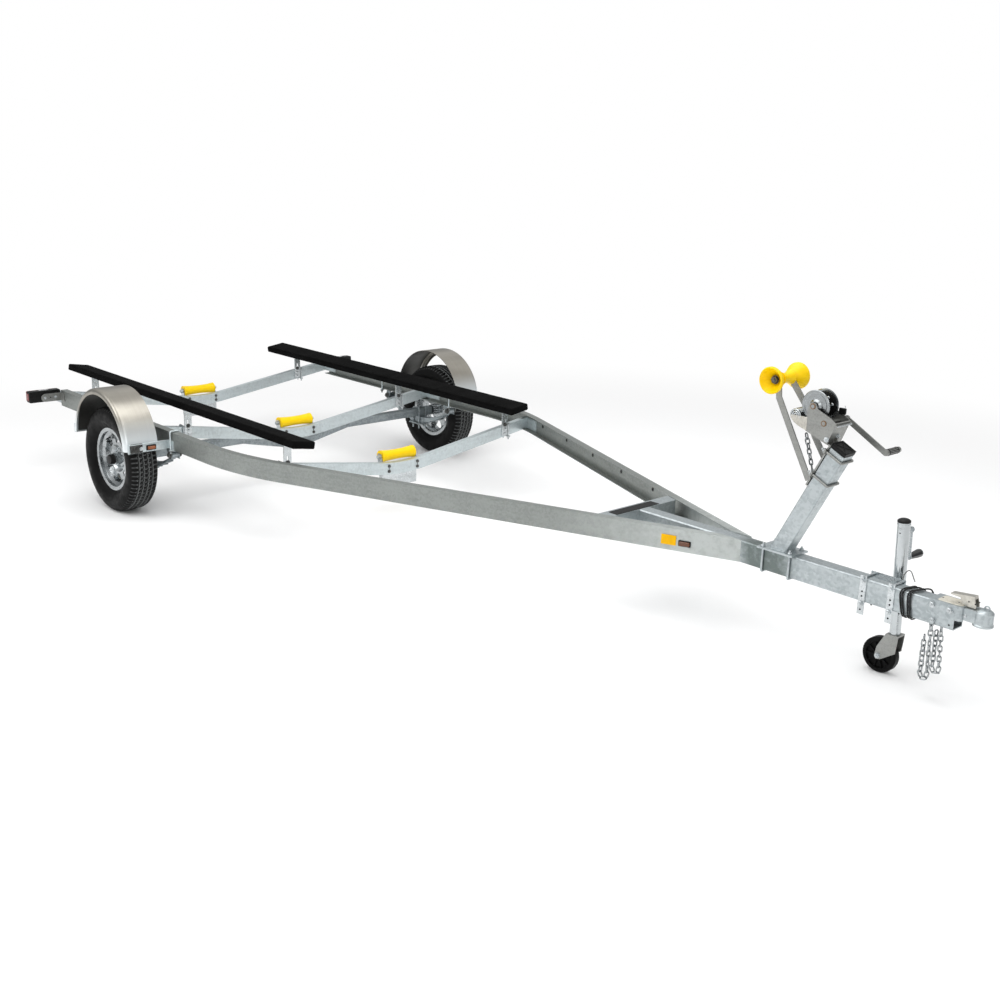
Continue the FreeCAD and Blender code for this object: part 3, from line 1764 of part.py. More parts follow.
def winch_crank():
    reach = S.winch_half_width + 3
    bar = size(6)
    shaft = rod("y", S.shaft_x, -reach, S.shaft_z, S.shaft_radius,
                reach + S.crank_plane + bar)
    angle = S.crank_angle
    end_x = S.shaft_x + S.crank_length * cosine(angle)
    end_z = S.shaft_z + S.crank_length * sine(angle)
    half = S.crank_bar / 2
    arm = new_body("CrankArm")
    slab(arm, "y", S.crank_plane, bar,
         [bar_strip([(S.shaft_x, S.shaft_z), (end_x, end_z)], half)])
    slab(arm, "y", S.crank_plane, bar, [], [(S.shaft_x, S.shaft_z, half)])
    slab(arm, "y", S.crank_plane, bar, [], [(end_x, end_z, half)])
    grip = rod("y", end_x, S.crank_plane + bar, end_z, S.grip_radius, S.grip_length)
    return fuse([shaft, arm, grip])


finish(winch_frame(), "winch_frame")
finish(winch_drum(), "winch_drum")
finish(winch_crank(), "winch_crank")


# Chains: welded links, each turned a quarter from the one before

def chain_link(middle, along, wide):
    """One link as an octagonal ring, its long way and its width along two directions."""
    thick = along.cross(wide)
    wire = S.link_wire.number
    half_length = S.link_length.number / 2
    half_width = S.link_width.number / 2
    corner = half_width * 0.55

    def ring(inset):
        length = half_length - inset
        width = half_width - inset
        cut_off = corner - inset * 0.41
        corners = [
            (length, width - cut_off), (length - cut_off, width),
            (cut_off - length, width), (-length, width - cut_off),
            (-length, cut_off - width), (cut_off - length, -width),
            (length - cut_off, -width), (length, cut_off - width),
        ]
        points = []
        for x, y in corners + corners[:1]:
            points.append(middle + along * x + wide * y - thick * (wire / 2))
        return Part.makePolygon(points)

    face = Part.Face(ring(0)).cut(Part.Face(ring(wire)))
    return face.Faces[0].extrude(thick * wire)


def chain_stops(route, pitch):
    """Points one pitch apart along a line of points."""
    stops = [route[0]]
    for before, after in zip(route, route[1:]):
        while True:
            ahead = (after - stops[-1])
            if ahead.Length < pitch:
                break
            stops.append(stops[-1] + ahead.normalize() * pitch)
    return stops


def chain(route):
    """A chain of links along a route, each reaching just into the next."""
    pitch = S.link_length.number - S.link_wire.number * 2 + 0.3
    route = [FreeCAD.Vector(*[size(part).number for part in point]) for point in route]
    stops = chain_stops(route, pitch)
    links = []
    for number, middle in enumerate(stops):
        before = stops[max(number - 1, 0)]
        after = stops[min(number + 1, len(stops) - 1)]
        along = (after - before).normalize()
        across = FreeCAD.Vector(0, 1, 0)
        square = along.cross(across).normalize()
        flat = square if number % 2 == 0 else across
        links.append(chain_link(middle, along, flat))
    item = doc.addObject("Part::Feature", "Chain")
    item.Shape = links[0].fuse(links[1:])
    return item


def bow_chain():
    """From its pin on the stand up towards the winch."""
    foot_x, foot_z = bow_chain_foot()
    return chain([
        (foot_x, 0, foot_z),
        (foot_x - S.bow_chain_rise * sine(S.bow_chain_lean), 0,
         foot_z + S.bow_chain_rise * cosine(S.bow_chain_lean)),
    ])


def safety_chain(side):
    """Down from its bolt on the tongue's side, round and up to hang on itself."""
    y = (S.tongue_width / 2 + S.seat_gap + S.link_wire / 2) * side
    x = S.chain_x
    z = S.chain_top
    drop = S.chain_drop
    return chain([
        (x, y, z), (x + 8, y, z - drop), (x - 6, y, z - drop - 17),
        (x - 22, y, z - drop + 4), (x - 22, y, z - 52),
    ])


finish(bow_chain(), "bow_chain")
finish(group([safety_chain(-1), safety_chain(1)]), "safety_chains")


# Nose jack: clamp on the tongue, swivelling tube, sliding tube and caster

def jack_mount():
    out = S.tongue_width / 2 + S.seat_gap
    thick = S.strap_thick
    pieces = []
    for number in (0, 1):
        x = S.strap_rear + S.strap_pitch * number - S.strap_width / 2
        pieces.append(box(x, -out - thick, S.strap_bottom, S.strap_width, thick,
                          S.strap_top - S.strap_bottom))
        for z in (S.tongue_top + S.strap_bolt + S.seat_gap,
                  S.tongue_top - S.tongue_height - S.strap_bolt - S.seat_gap):
            pieces.append(rod("y", x + S.strap_width / 2, -out - thick - 8, z,
                              S.strap_bolt, (out + thick + 8) * 2))
    length = S.strap_pitch + S.strap_width
    plate = box(S.strap_rear - S.strap_width / 2, out, S.strap_bottom + 30, length, thick,
                S.strap_top - S.strap_bottom - 30)
    fold = S.strap_bolt + S.strap_width / 2
    flange = box(S.strap_rear + fold, out + thick - 28, S.tongue_top + S.seat_gap,
                 S.strap_pitch - fold * 2, 28, thick)
    hub = rod("y", S.jack_x, out, S.jack_pivot_z, S.jack_hub, 26)
    return fuse(pieces + [plate, flange, hub])


def jack_tube():
    """Outer tube with its swivel plate, turning on the mount's hub."""
    plate_y = S.tongue_width / 2 + S.seat_gap * 2 + S.strap_thick
    outer = rod("z", S.jack_x, S.jack_y, S.jack_bottom, S.jack_radius,
                S.jack_top - S.jack_bottom)
    boss = rod("y", S.jack_x, plate_y, S.jack_pivot_z, S.jack_pivot_radius,
               S.jack_y - plate_y)
    plate = rod("y", S.jack_x, plate_y, S.jack_pivot_z, 42, S.jack_plate)
    guide_top = S.jack_bottom + S.jack_guide
    bore = rod("z", S.jack_x, S.jack_y, guide_top, S.jack_radius - S.jack_wall,
               S.jack_top - 8 - guide_top)
    guide = rod("z", S.jack_x, S.jack_y, S.jack_bottom - 1, S.inner_radius + S.pin_play,
                S.jack_guide + 2)
    socket = rod("y", S.jack_x, plate_y - 1, S.jack_pivot_z, S.jack_hub + S.pin_play, 23)
    return cut(fuse([outer, boss, plate]), [bore, guide, socket])


def jack_cap():
    body = new_body("JackCap")
    low = S.jack_top + S.seat_gap
    spun(body, S.jack_x, S.jack_y, [
        (0, low), (S.jack_radius + 1, low), (S.jack_radius + 1, low + 8, -2),
        (8, low + 17), (0, low + 17),
    ])
    return body


def jack_inner():
    low = S.fork_top + S.seat_gap
    tube = rod("z", S.jack_x, S.jack_y, low, S.inner_radius, S.inner_length)
    return group([tube])


def jack_handle():
    """Side-wind crank on the far side of the jack's head."""
    pivot_z = S.jack_top - S.jack_crank_below
    start = S.jack_y + S.jack_radius + S.seat_gap
    shaft = rod("y", S.jack_x, start, pivot_z, 7, S.jack_crank_plane - S.jack_radius)
    plane = S.jack_y + S.jack_crank_plane
    arm = box(S.jack_x - 9, plane - 5, pivot_z - S.jack_crank_drop, 18, 5,
              S.jack_crank_drop + 9)
    grip = doc.addObject("Part::Cone", "Grip")
    grip.Placement = FreeCAD.Placement(FreeCAD.Vector(), TURNS["y"])
    bind(grip, "Placement.Base.x", S.jack_x)
    bind(grip, "Placement.Base.y", plane - 1)
    bind(grip, "Placement.Base.z", pivot_z - S.jack_crank_drop + 9)
    grip.Radius1 = 9
    grip.Radius2 = 17
    bind(grip, "Height", S.jack_grip_length)
    return fuse([shaft, arm, grip])


caster_x = S.jack_x - S.caster_trail
parked_lean = S.parked_tilt - S.jack_lean
pivot_height = S.wheel_radius + (S.jack_pivot_z - S.wheel_radius) * cosine(
    S.parked_tilt) - S.jack_x * sine(S.parked_tilt)
caster_z = S.jack_pivot_z + (
    S.caster_radius - pivot_height - S.caster_trail * sine(parked_lean)
) / cosine(parked_lean)


def jack_fork():
    half = S.caster_width / 2 + S.caster_play
    thick = S.fork_thick
    top = S.fork_top
    cheek = [
        (S.jack_x - 26, top), (S.jack_x + 30, top), (S.jack_x + 27, top - 30),
        (S.jack_x + 20, caster_z + 26), (caster_x + 12, caster_z - 14),
        (caster_x - 8, caster_z - 16), (caster_x - 15, caster_z - 4),
        (caster_x - 6, caster_z + 40),
    ]
    body = new_body("JackFork")
    slab(body, "y", S.jack_y - half - thick, thick, [cheek])
    slab(body, "y", S.jack_y + half, thick, [cheek])
    roof = box(S.jack_x - 26, S.jack_y - half - thick, top - 6, 56, (half + thick) * 2, 6)
    bolt = rod("y", caster_x, S.jack_y - half - thick - 6, caster_z, S.caster_bolt,
               (half + thick + 6) * 2)
    return fuse([body, roof, bolt])


def jack_wheel():
    body = new_body("JackWheel")
    half = S.caster_width / 2
    middle = S.jack_y
    bore = S.caster_bolt + S.pin_play
    turned(body, caster_x, caster_z, [
        (bore, middle - half), (18, middle - half), (20, middle - half + 8),
        (58, middle - half + 8), (60, middle - half), (S.caster_radius - 6, middle - half),
        (S.caster_radius, middle - half + 7), (S.caster_radius, middle + half - 7),
        (S.caster_radius - 6, middle + half), (60, middle + half),
        (58, middle + half - 8), (20, middle + half - 8), (18, middle + half),
        (bore, middle + half),
    ])
    return body


finish(jack_mount(), "jack_mount")
finish(jack_tube(), "jack_outer_tube", S.jack_lean)
finish(jack_cap(), "jack_cap", S.jack_lean)
finish(jack_inner(), "jack_inner_tube", S.jack_lean)
finish(jack_handle(), "jack_crank", S.jack_lean)
finish(jack_fork(), "jack_fork", S.jack_lean)
finish(jack_wheel(), "jack_wheel", S.jack_lean)


# Coupler: a folded channel over the tongue's end, its neck and the ball housing

coupler_top = S.tongue_top + S.seat_gap + S.coupler_wall
coupler_front = S.tongue_front + S.coupler_shoulder


def coupler():
    """The channel closes round the tongue's end and narrows to the hollow neck."""
    gap = S.seat_gap
    wall = S.coupler_wall
    half = S.tongue_width / 2 + gap + wall
    side_low = S.tongue_top - S.coupler_side
    corner = S.coupler_round
    rise = corner * (1 - math.cos(math.pi / 4))
    body = new_body("Coupler")
    slab(body, "z", side_low, coupler_top - side_low, [[
        (S.coupler_rear, -half),
        (coupler_front - corner, -half, -rise),
        (coupler_front, corner - half),
        (coupler_front, half - corner, -rise),
        (coupler_front - corner, half),
        (S.coupler_rear, half),
    ]])
    inner = half - wall
    slab(body, "z", side_low - 1, S.coupler_side + 1 + gap, [[
        (S.coupler_rear - 5, -inner), (S.tongue_front + gap, -inner),
        (S.tongue_front + gap, inner), (S.coupler_rear - 5, inner),
    ]], cut=True)
    neck_top = coupler_top - 3
    slab(body, "z", S.neck_low, neck_top - S.neck_low, [[
        (coupler_front - wall, -S.neck_half), (S.ball_x, -S.neck_half),
        (S.ball_x, S.neck_half), (coupler_front - wall, S.neck_half),
    ]])
    spun(body, S.ball_x, size(0), [
        (0, S.housing_bottom),
        (S.housing_radius + 3, S.housing_bottom),
        (S.housing_radius + 3, S.housing_bottom + 6),
        (S.housing_radius, S.housing_bottom + 9),
        (S.housing_radius, neck_top - 6, -3),
        (14, neck_top + S.housing_dome),
        (0, neck_top + S.housing_dome),
    ])
    hollow = S.neck_half - wall
    hollow_top = neck_top - wall * 2
    slab(body, "z", side_low - 1, hollow_top - side_low + 1, [[
        (S.tongue_front - 1, -hollow), (S.ball_x, -hollow),
        (S.ball_x, hollow), (S.tongue_front - 1, hollow),
    ]], cut=True)
    slab(body, "z", S.housing_bottom - 1, S.ball_z + S.socket_height - S.housing_bottom + 1,
         [], [(S.ball_x, 0, S.ball_socket_radius)], cut=True)
    loop = doc.addObject("Part::Torus", "Loop")
    loop.Placement = FreeCAD.Placement(FreeCAD.Vector(), TURNS["y"])
    bind(loop, "Placement.Base.x", S.ball_x + 8)
    bind(loop, "Placement.Base.z", neck_top + S.housing_dome + S.loop_radius - 6)
    bind(loop, "Radius1", S.loop_radius)
    bind(loop, "Radius2", S.loop_wire)
    return fuse([body, loop])


def coupler_latch():
    """A folded lever on top of the coupler, with its finger tab reaching back."""
    body = new_body("CouplerLatch")
    low = coupler_top + S.seat_gap
    high = low + S.latch_height
    rear = S.ball_x - 136
    view = [
        (rear + 56, low), (rear + S.latch_length, low), (rear + S.latch_length, low + 8),
        (rear + 95, high), (rear, high - 10), (rear, high - 15), (rear + 40, high - 18),
    ]
    slab(body, "y", S.latch_width / -2, S.latch_width, [view])
    wall = S.latch_wall
    inside = [
        (rear + 48, low - 1), (rear + S.latch_length + 5, low - 1),
        (rear + S.latch_length + 5, high - wall - 6), (rear + 52, high - wall * 2 - 8),
    ]
    slab(body, "y", wall - S.latch_width / 2, S.latch_width - wall * 2, [inside], cut=True)
    return body


finish(coupler(), "coupler")
finish(coupler_latch(), "coupler_latch")


# Lighting cable: its coil round the tongue and the connector on its end

def cable_coil():
    """The outer shape of the turns wound round the tongue."""
    thick = S.cable_radius * 2
    half = S.tongue_width / 2 + S.seat_gap
    low = S.tongue_top - S.tongue_height
    outer = [
        (-half - thick, low - thick * 1.6), (half + thick, low - thick * 1.6),
        (half + thick, S.tongue_top + thick * 2.6), (-half - thick, S.tongue_top + thick * 2.6),
    ]
    inner = [
        (-half, low - S.seat_gap), (half, low - S.seat_gap),
        (half, S.tongue_top + S.seat_gap), (-half, S.tongue_top + S.seat_gap),
    ]
    body = new_body("CableCoil")
    slab(body, "x", S.coil_rear, S.coil_length, [outer])
    round_edges(body, 12, lambda edge: runs_along(edge, "x"))
    slab(body, "x", S.coil_rear - 1, S.coil_length + 2, [inner], cut=True)
    return body


def cable_plug():
    """The flat connector on the cable's end, hanging down the far side of the coil."""
    near = S.tongue_width / 2 + S.seat_gap * 2 + S.cable_radius * 2
    right = S.coil_rear + S.coil_length
    body = new_body("CablePlug")
    slab(body, "z", S.plug_top - S.plug_length, S.plug_length, [[
        (right - S.plug_width, near), (right, near),
        (right, near + S.plug_thick), (right - S.plug_width, near + S.plug_thick),
    ]])
    round_edges(body, 2, lambda edge: True)
    relief = doc.addObject("Part::Cone", "Relief")
    bind(relief, "Placement.Base.x", right - S.plug_width / 2)
    bind(relief, "Placement.Base.y", near + S.plug_thick / 2)
    bind(relief, "Placement.Base.z", S.plug_top - 1)
    bind(relief, "Radius1", S.plug_thick / 2 - 0.4)
    bind(relief, "Radius2", S.cable_radius)
    bind(relief, "Height", S.relief_length)
    return fuse([body, relief])


finish(cable_coil(), "cable_coil")
finish(cable_plug(), "cable_plug")


# Check every object, then write each piece to its own file

doc.recompute()
for item in doc.Objects:
    for state in ("Invalid", "Error"):
        if state in item.State:
            raise RuntimeError(f"{item.Name} ({item.Label}) did not build: {item.State}")
os.makedirs("parts", exist_ok=True)
for item in NODES:
    shape = item.Shape
    if shape.isNull() or not shape.isValid() or not shape.Solids:
        raise RuntimeError(f"{item.Label} has no sound shape")
    shape.exportStep(f"parts/{item.Label}.step")
    print(item.Label, len(shape.Solids), round(shape.Volume / 1000, 1))
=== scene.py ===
import math

import bpy
import numpy as np
from bpy.props import FloatProperty, FloatVectorProperty, IntProperty, PointerProperty
from bpy.types import Operator, Panel, PropertyGroup
from mathutils import Matrix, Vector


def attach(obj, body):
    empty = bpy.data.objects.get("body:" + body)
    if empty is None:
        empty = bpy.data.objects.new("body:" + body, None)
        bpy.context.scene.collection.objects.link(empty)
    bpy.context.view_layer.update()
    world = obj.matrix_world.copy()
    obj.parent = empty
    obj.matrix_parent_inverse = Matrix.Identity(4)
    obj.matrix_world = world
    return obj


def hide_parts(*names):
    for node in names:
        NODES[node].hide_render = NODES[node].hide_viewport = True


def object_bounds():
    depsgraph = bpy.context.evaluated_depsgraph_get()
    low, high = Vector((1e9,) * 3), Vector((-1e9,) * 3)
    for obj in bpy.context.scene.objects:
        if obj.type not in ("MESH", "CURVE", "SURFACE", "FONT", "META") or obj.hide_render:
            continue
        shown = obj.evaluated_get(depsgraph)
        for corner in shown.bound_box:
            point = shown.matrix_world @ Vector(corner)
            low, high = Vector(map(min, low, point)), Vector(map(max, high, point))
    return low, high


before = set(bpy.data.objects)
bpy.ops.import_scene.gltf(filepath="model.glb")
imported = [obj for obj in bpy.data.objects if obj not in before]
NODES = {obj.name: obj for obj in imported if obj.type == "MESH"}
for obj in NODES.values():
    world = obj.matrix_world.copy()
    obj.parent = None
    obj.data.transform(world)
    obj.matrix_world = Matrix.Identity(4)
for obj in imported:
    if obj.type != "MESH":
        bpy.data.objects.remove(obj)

bl_info = {
    "name": "Boat trailer dressing",
    "version": (1, 0, 0),
    "blender": (4, 5, 0),
    "location": "View3D > Sidebar > Trailer",
    "description": "Dresses a galvanised bunk trailer with its finishes and small parts",
    "category": "Object",
}

CAD_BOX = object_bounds()

# The trailer's own sizes are given in the level frame: millimetres, X forward from the
# axle, Y to the left, Z up from the ground under the wheels. It stands nose-down.
PARKED_TILT = math.radians(0.97)
BALL = np.array([4660.0, 0.0, 456.0])
SIDES = {"right": -1, "left": 1}
X, Y, Z = (1, 0, 0), (0, 1, 0), (0, 0, 1)
BACK, RIGHT, DOWN = (-1, 0, 0), (0, -1, 0), (0, 0, -1)
FULL_TURN = 2 * math.pi

# Sizes of the CAD solids that the added pieces sit on
WHEEL_Y, WHEEL_RADIUS = 1200.0, 306.0
RAIL_BEND = math.radians(21.82)
BEAM_FACES = (-1159.0, 61.0, 1124.0)
BEAM_RISE = math.radians(8.53)
BEAM_BEND_HALF = 180.0
BEAM_LOW = 306.6
BUNK_TILT = math.radians(8.5)
BUNK_END, BUNK_Y, BUNK_TOP = -1434.0, 780.0, 597.0
POST_LEAN = math.radians(26.3)
POST_FOOT = np.array([3740.0, 508.3])
POST_LENGTH = 534.0
DRUM_X, DRUM_Z = 3853.0, 1158.0
SHAFT_X, SHAFT_Z = 3911.0, 1097.0
JACK_PIVOT = (4247.0, 0.0, 450.0)
JACK_LEAN = math.radians(2.7)


def stand(points):
    """Level millimetres to the parked frame in metres: shifted to the ball, then tipped."""
    along, across, up = np.moveaxis(np.asarray(points, float) - BALL, -1, 0)
    c, s = math.cos(PARKED_TILT), math.sin(PARKED_TILT)
    return np.stack([along * c + up * s, across, up * c - along * s], -1) / 1000


def linear(hex_colour):
    """Linear red, green and blue of an sRGB hex value."""
    channels = np.array([hex_colour >> 16 & 255, hex_colour >> 8 & 255, hex_colour & 255]) / 255
    high = ((channels + 0.055) / 1.055) ** 2.4
    return tuple(float(v) for v in np.where(channels <= 0.04045, channels / 12.92, high))


def dimmed(colour, share):
    """A colour with each channel multiplied by a share."""
    return tuple(channel * share for channel in colour)


def colour_setting(name, description, hex_colour):
    return FloatVectorProperty(name=name, description=description, subtype="COLOR",
                               default=linear(hex_colour), min=0, max=1)


def length_setting(name, description, default, low, high):
    return FloatProperty(name=name, description=description, default=default, min=low,
                         max=high, unit="LENGTH")


class TrailerColours(PropertyGroup):
    galvanised: colour_setting("Galvanised", "Hot-dip zinc on the frame", 0xB9C0C2)
    galvanised_dull: colour_setting("Dull zinc", "Greyer grains of the zinc", 0x9DA5A8)
    # The cross beams' zinc is painted paler and bluer: painted light, for faces turned to the light
    beam: colour_setting("Pale zinc", "Pale, bluish zinc on the cross beams", 0xCBD4D6)
    # The rails' zinc is painted darker grey: painted shade, for faces turned away from the light
    rail: colour_setting("Rail zinc", "Grey hot-dip zinc on the rails", 0x969A97)
    plate: colour_setting("Plate zinc", "Grey zinc on flat plates and bars", 0x9C9D9A)
    bright_zinc: colour_setting("Bright zinc", "Electroplated fittings", 0xCBD0D2)
    yellow_zinc: colour_setting("Yellow zinc", "Warm-passivated fittings", 0xC9C6BD)
    fender: colour_setting("Fender", "Rolled fender sheet", 0xA19D94)
    tyre: colour_setting("Tyre", "Tyre rubber", 0x080808)
    carpet: colour_setting("Carpet", "Bunk carpet", 0x070707)
    roller: colour_setting("Roller", "Polyurethane rollers", 0xFFD400)
    black_plastic: colour_setting("Black plastic", "Caps, grips and lamp housings", 0x0A0B0B)
    amber: colour_setting("Amber", "Side marker lenses", 0xA8581C)
    red: colour_setting("Red", "Tail lamp lenses", 0x8E1412)
    reflector: colour_setting("Reflector", "Yellow side reflectors", 0xF4B800)


class TrailerSizes(PropertyGroup):
    tread_depth: length_setting("Tread depth", "Depth of the tyre's grooves",
                                0.0085, 0.001, 0.012)
    tread_pitches: IntProperty(name="Tread pitches", description="Blocks round the tyre",
                               default=72, min=30, max=100)
    chain_wire: length_setting("Chain wire", "Thickness of a link's wire",
                               0.0063, 0.003, 0.008)
    cable: length_setting("Cable", "Diameter of the lighting cable", 0.0065, 0.005, 0.009)
    carpet_nap: length_setting("Carpet nap", "Height of the carpet's tufts",
                               0.0011, 0.0, 0.003)


# Shapes: points (n, 3) in level millimetres, quads (m, 4) and end caps

def unit(vectors):
    """Vectors brought to a length of one."""
    vectors = np.asarray(vectors, float)
    return vectors / np.linalg.norm(vectors, axis=-1, keepdims=True)


def ring_of(count):
    """Cosines and sines of angles spread evenly round a circle."""
    angle = np.linspace(0, FULL_TURN, count, endpoint=False)
    return np.cos(angle), np.sin(angle)


def enclosed(points, quads, caps):
    """Signed volume: a sixth of the triple product of each face's corners, added up."""
    a, b, c, d = np.moveaxis(points[quads], 1, 0)
    total = np.sum(a * (np.cross(b, c) + np.cross(c, d)))
    for ring in caps:
        fan = points[ring]
        total += np.sum(np.cross(fan[1:-1], fan[2:]) @ fan[0])
    return total / 6


def skin(rows, wrap=False):
    """A closed surface through rows of points, each row a closed ring. The last row joins
    the first, or else both ends are capped. Faces are turned to point outwards."""
    rows = np.asarray(rows, float)
    count, width = rows.shape[:2]
    i = np.arange(count if wrap else count - 1)[:, None] * width
    j = np.arange(width)[None, :]
    ahead, beside = (i + width) % (count * width), (j + 1) % width
    quads = np.stack([i + j, i + beside, ahead + beside, ahead + j], -1).reshape(-1, 4)
    caps = [] if wrap else [np.arange(width)[::-1], np.arange(width) + (count - 1) * width]
    points = rows.reshape(-1, 3)
    if enclosed(points - points.mean(0), quads, caps) < 0:
        quads, caps = quads[:, ::-1], [ring[::-1] for ring in caps]
    return points, quads, caps


def joined(shapes):
    """One shape from several."""
    points, quads, caps = [], [], []
    start = 0
    for shape in shapes:
        points.append(shape[0])
        quads.append(shape[1] + start)
        caps += [ring + start for ring in shape[2]]
        start += len(shape[0])
    return np.concatenate(points), np.concatenate(quads), caps


def copies(shape, places, turns):
    """The shape at each place, its own axes along the rows of each turn (n, 3, 3)."""
    points, quads, caps = shape
    placed = np.einsum("pj,njk->npk", points, turns) + np.asarray(places, float)[:, None]
    shift = np.arange(len(placed)) * len(points)
    many = (quads[None] + shift[:, None, None]).reshape(-1, 4)
    return placed.reshape(-1, 3), many, [ring + start for start in shift for ring in caps]


def facing(directions, near=X):
    """Turns whose third row is the direction and whose first lies as near as it can."""
    z = unit(np.atleast_2d(directions))
    near = np.broadcast_to(np.asarray(near, float), z.shape)
    flat = near - np.einsum("ij,ij->i", near, z)[:, None] * z
    lost = np.linalg.norm(flat, axis=1, keepdims=True) < 1e-6
    x = unit(np.where(lost, Y, flat))
    return np.stack([x, np.cross(z, x), z], 1)


def placed_at(shape, places, direction=Z, near=X):
    """The shape at one place or several, its Z along a direction."""
    places = np.atleast_2d(np.asarray(places, float))
    return copies(shape, places, facing(np.broadcast_to(direction, places.shape), near))


def fitted(*groups):
    """One shape from groups of a shape, its places and the way it faces."""
    return joined([placed_at(*group) for group in groups])


def both(*places):
    """Each place and its mirror image across the middle plane."""
    places = np.array(places, float)
    return np.concatenate([places, places * (1, -1, 1)])


def outward(shape, *places):
    """The shape at each place facing away from the middle plane, on both sides."""
    left, right = np.split(both(*places), 2)
    return fitted((shape, left, Y), (shape, right, RIGHT))


def lathe(profile, count=40, wrap=False):
    """Circles of radius r at height h along Z for each (r, h) of the profile."""
    profile = np.asarray(profile, float)
    c, s = ring_of(count)
    return skin(np.stack([profile[:, :1] * c, profile[:, :1] * s,
                          np.repeat(profile[:, 1:], count, 1)], -1), wrap)


def softened(points, radius, steps=5, closed=True):
    """A line of points in a plane or in space whose corners are eased by parabolas."""
    points = np.asarray(points, float)
    before, after = np.roll(points, 1, 0) - points, np.roll(points, -1, 0) - points
    back = np.linalg.norm(before, axis=1, keepdims=True)
    ahead = np.linalg.norm(after, axis=1, keepdims=True)
    reach = np.minimum(radius, 0.48 * np.minimum(back, ahead))
    start, end = points + before / back * reach, points + after / ahead * reach
    t = np.linspace(0, 1, steps)[None, :, None]
    curve = ((1 - t) ** 2 * start[:, None] + 2 * t * (1 - t) * points[:, None]
             + t ** 2 * end[:, None])
    if closed:
        return curve.reshape(-1, points.shape[1])
    return np.concatenate([points[:1], curve[1:-1].reshape(-1, points.shape[1]), points[-1:]])


def rectangle(length, width):
    """Four corners round the origin, counter-clockwise."""
    return np.array([[-1, -1], [1, -1], [1, 1], [-1, 1]]) * (length / 2, width / 2)


def inset(outline, distance):
    """An outline moved square to its sides, inwards for one that runs counter-clockwise."""
    before = unit(outline - np.roll(outline, 1, 0))
    after = unit(np.roll(outline, -1, 0) - outline)
    bisector = unit(before + after)
    left = np.stack([-bisector[:, 1], bisector[:, 0]], -1)
    stretch = np.clip(np.einsum("ij,ij->i", bisector, after), 0.5, 1)[:, None]
    return outline + left * distance / stretch


def plate(outline, thickness, bevel=0.6):
    """A flat plate from Z = 0 up, with its edges eased by a small bevel."""
    outline = np.asarray(outline, float)
    ahead = np.roll(outline, -1, 0)
    if np.sum(outline[:, 0] * ahead[:, 1] - outline[:, 1] * ahead[:, 0]) < 0:
        outline = outline[::-1]
    bevel = min(bevel, thickness * 0.45)
    steps = ((bevel, 0), (0, bevel), (0, thickness - bevel), (bevel, thickness))
    return skin([np.column_stack([inset(outline, distance), np.full(len(outline), height)])
                 for distance, height in steps])


def block(length, width, height, edge=1.5, bevel=0.8):
    """A block centred on X and Y from Z = 0 up, with rounded upright edges."""
    return plate(softened(rectangle(length, width), edge, 4), height, bevel)


def tube(path, radius, count=12, closed=False, up=Y):
    """A round bar: circles square to the path's tangent, turned by one fixed direction."""
    path = np.asarray(path, float)
    if closed:
        tangent = unit(np.roll(path, -1, 0) - np.roll(path, 1, 0))
    else:
        tangent = unit(np.gradient(path, axis=0))
    side = unit(np.cross(tangent, up))
    over = np.cross(side, tangent)
    c, s = ring_of(count)
    radius = np.broadcast_to(np.asarray(radius, float), len(path))[:, None, None]
    return skin(path[:, None] + radius * (side[:, None] * c[None, :, None]
                                          + over[:, None] * s[None, :, None]), closed)


def strip(path, width, thickness):
    """A flat bar along a path in the upright middle plane, its width along Y."""
    path = np.asarray(path, float)
    over = unit(np.cross(unit(np.gradient(path, axis=0)), Y))
    section = softened(rectangle(width, thickness), 0.8, 3)
    return skin(path[:, None] + np.array(Y) * section[None, :, :1]
                + over[:, None] * section[None, :, 1:])


def disc(radius):
    """A thin round patch, for a drilled hole's dark inside: painted shade."""
    return lathe([(radius, 0), (radius, 0.35)], 18)


def washer_ring(inner, outer, height, count=28):
    """A flat ring with its outer edge eased."""
    return lathe([(inner, 0), (outer, 0), (outer, height * 0.7), (outer - height * 0.3, height),
                  (inner, height)], count, wrap=True)


def hex_nut(radius, stud=0.0):
    """For a rod of a radius: washer, six-sided nut with eased corners, and rod beyond."""
    washer, top = radius * 0.3, radius * 1.6
    sides = [(radius * reach, washer + (top - washer) * share / 14)
             for reach, share in ((1.95, 0), (2.0, 3), (2.0, 11), (1.72, 14))]
    rod = [(radius * 0.98, radius), (radius * 0.98, top + stud - 0.6 if stud else top),
           (radius * 0.75, top + stud + 0.2)]
    return joined([lathe([(radius * 2.3, 0), (radius * 2.3, washer)], 18), lathe(sides, 6),
                   lathe(rod, 12)])


def domed_head(radius):
    """A low round head, a part of an ellipse in profile."""
    angle = np.linspace(0, math.pi / 2 * 0.96, 7)
    return lathe(np.column_stack([radius * 2.1 * np.cos(angle), radius * np.sin(angle)]), 20)


def ribbed_sleeve(stations, ribs, depth):
    """A sleeve along Z: the radius at each (radius, height) swings by the depth with the
    cosine of the angle times the ribs; its ends are capped."""
    stations, count = np.asarray(stations, float), 72
    c, s = ring_of(count)
    angle = np.linspace(0, FULL_TURN, count, endpoint=False)
    radius = stations[:, :1] + depth * (np.cos(angle * ribs) - 1)
    return skin(np.stack([c * radius, s * radius, np.repeat(stations[:, 1:], count, 1)], -1))


MATERIALS = {}


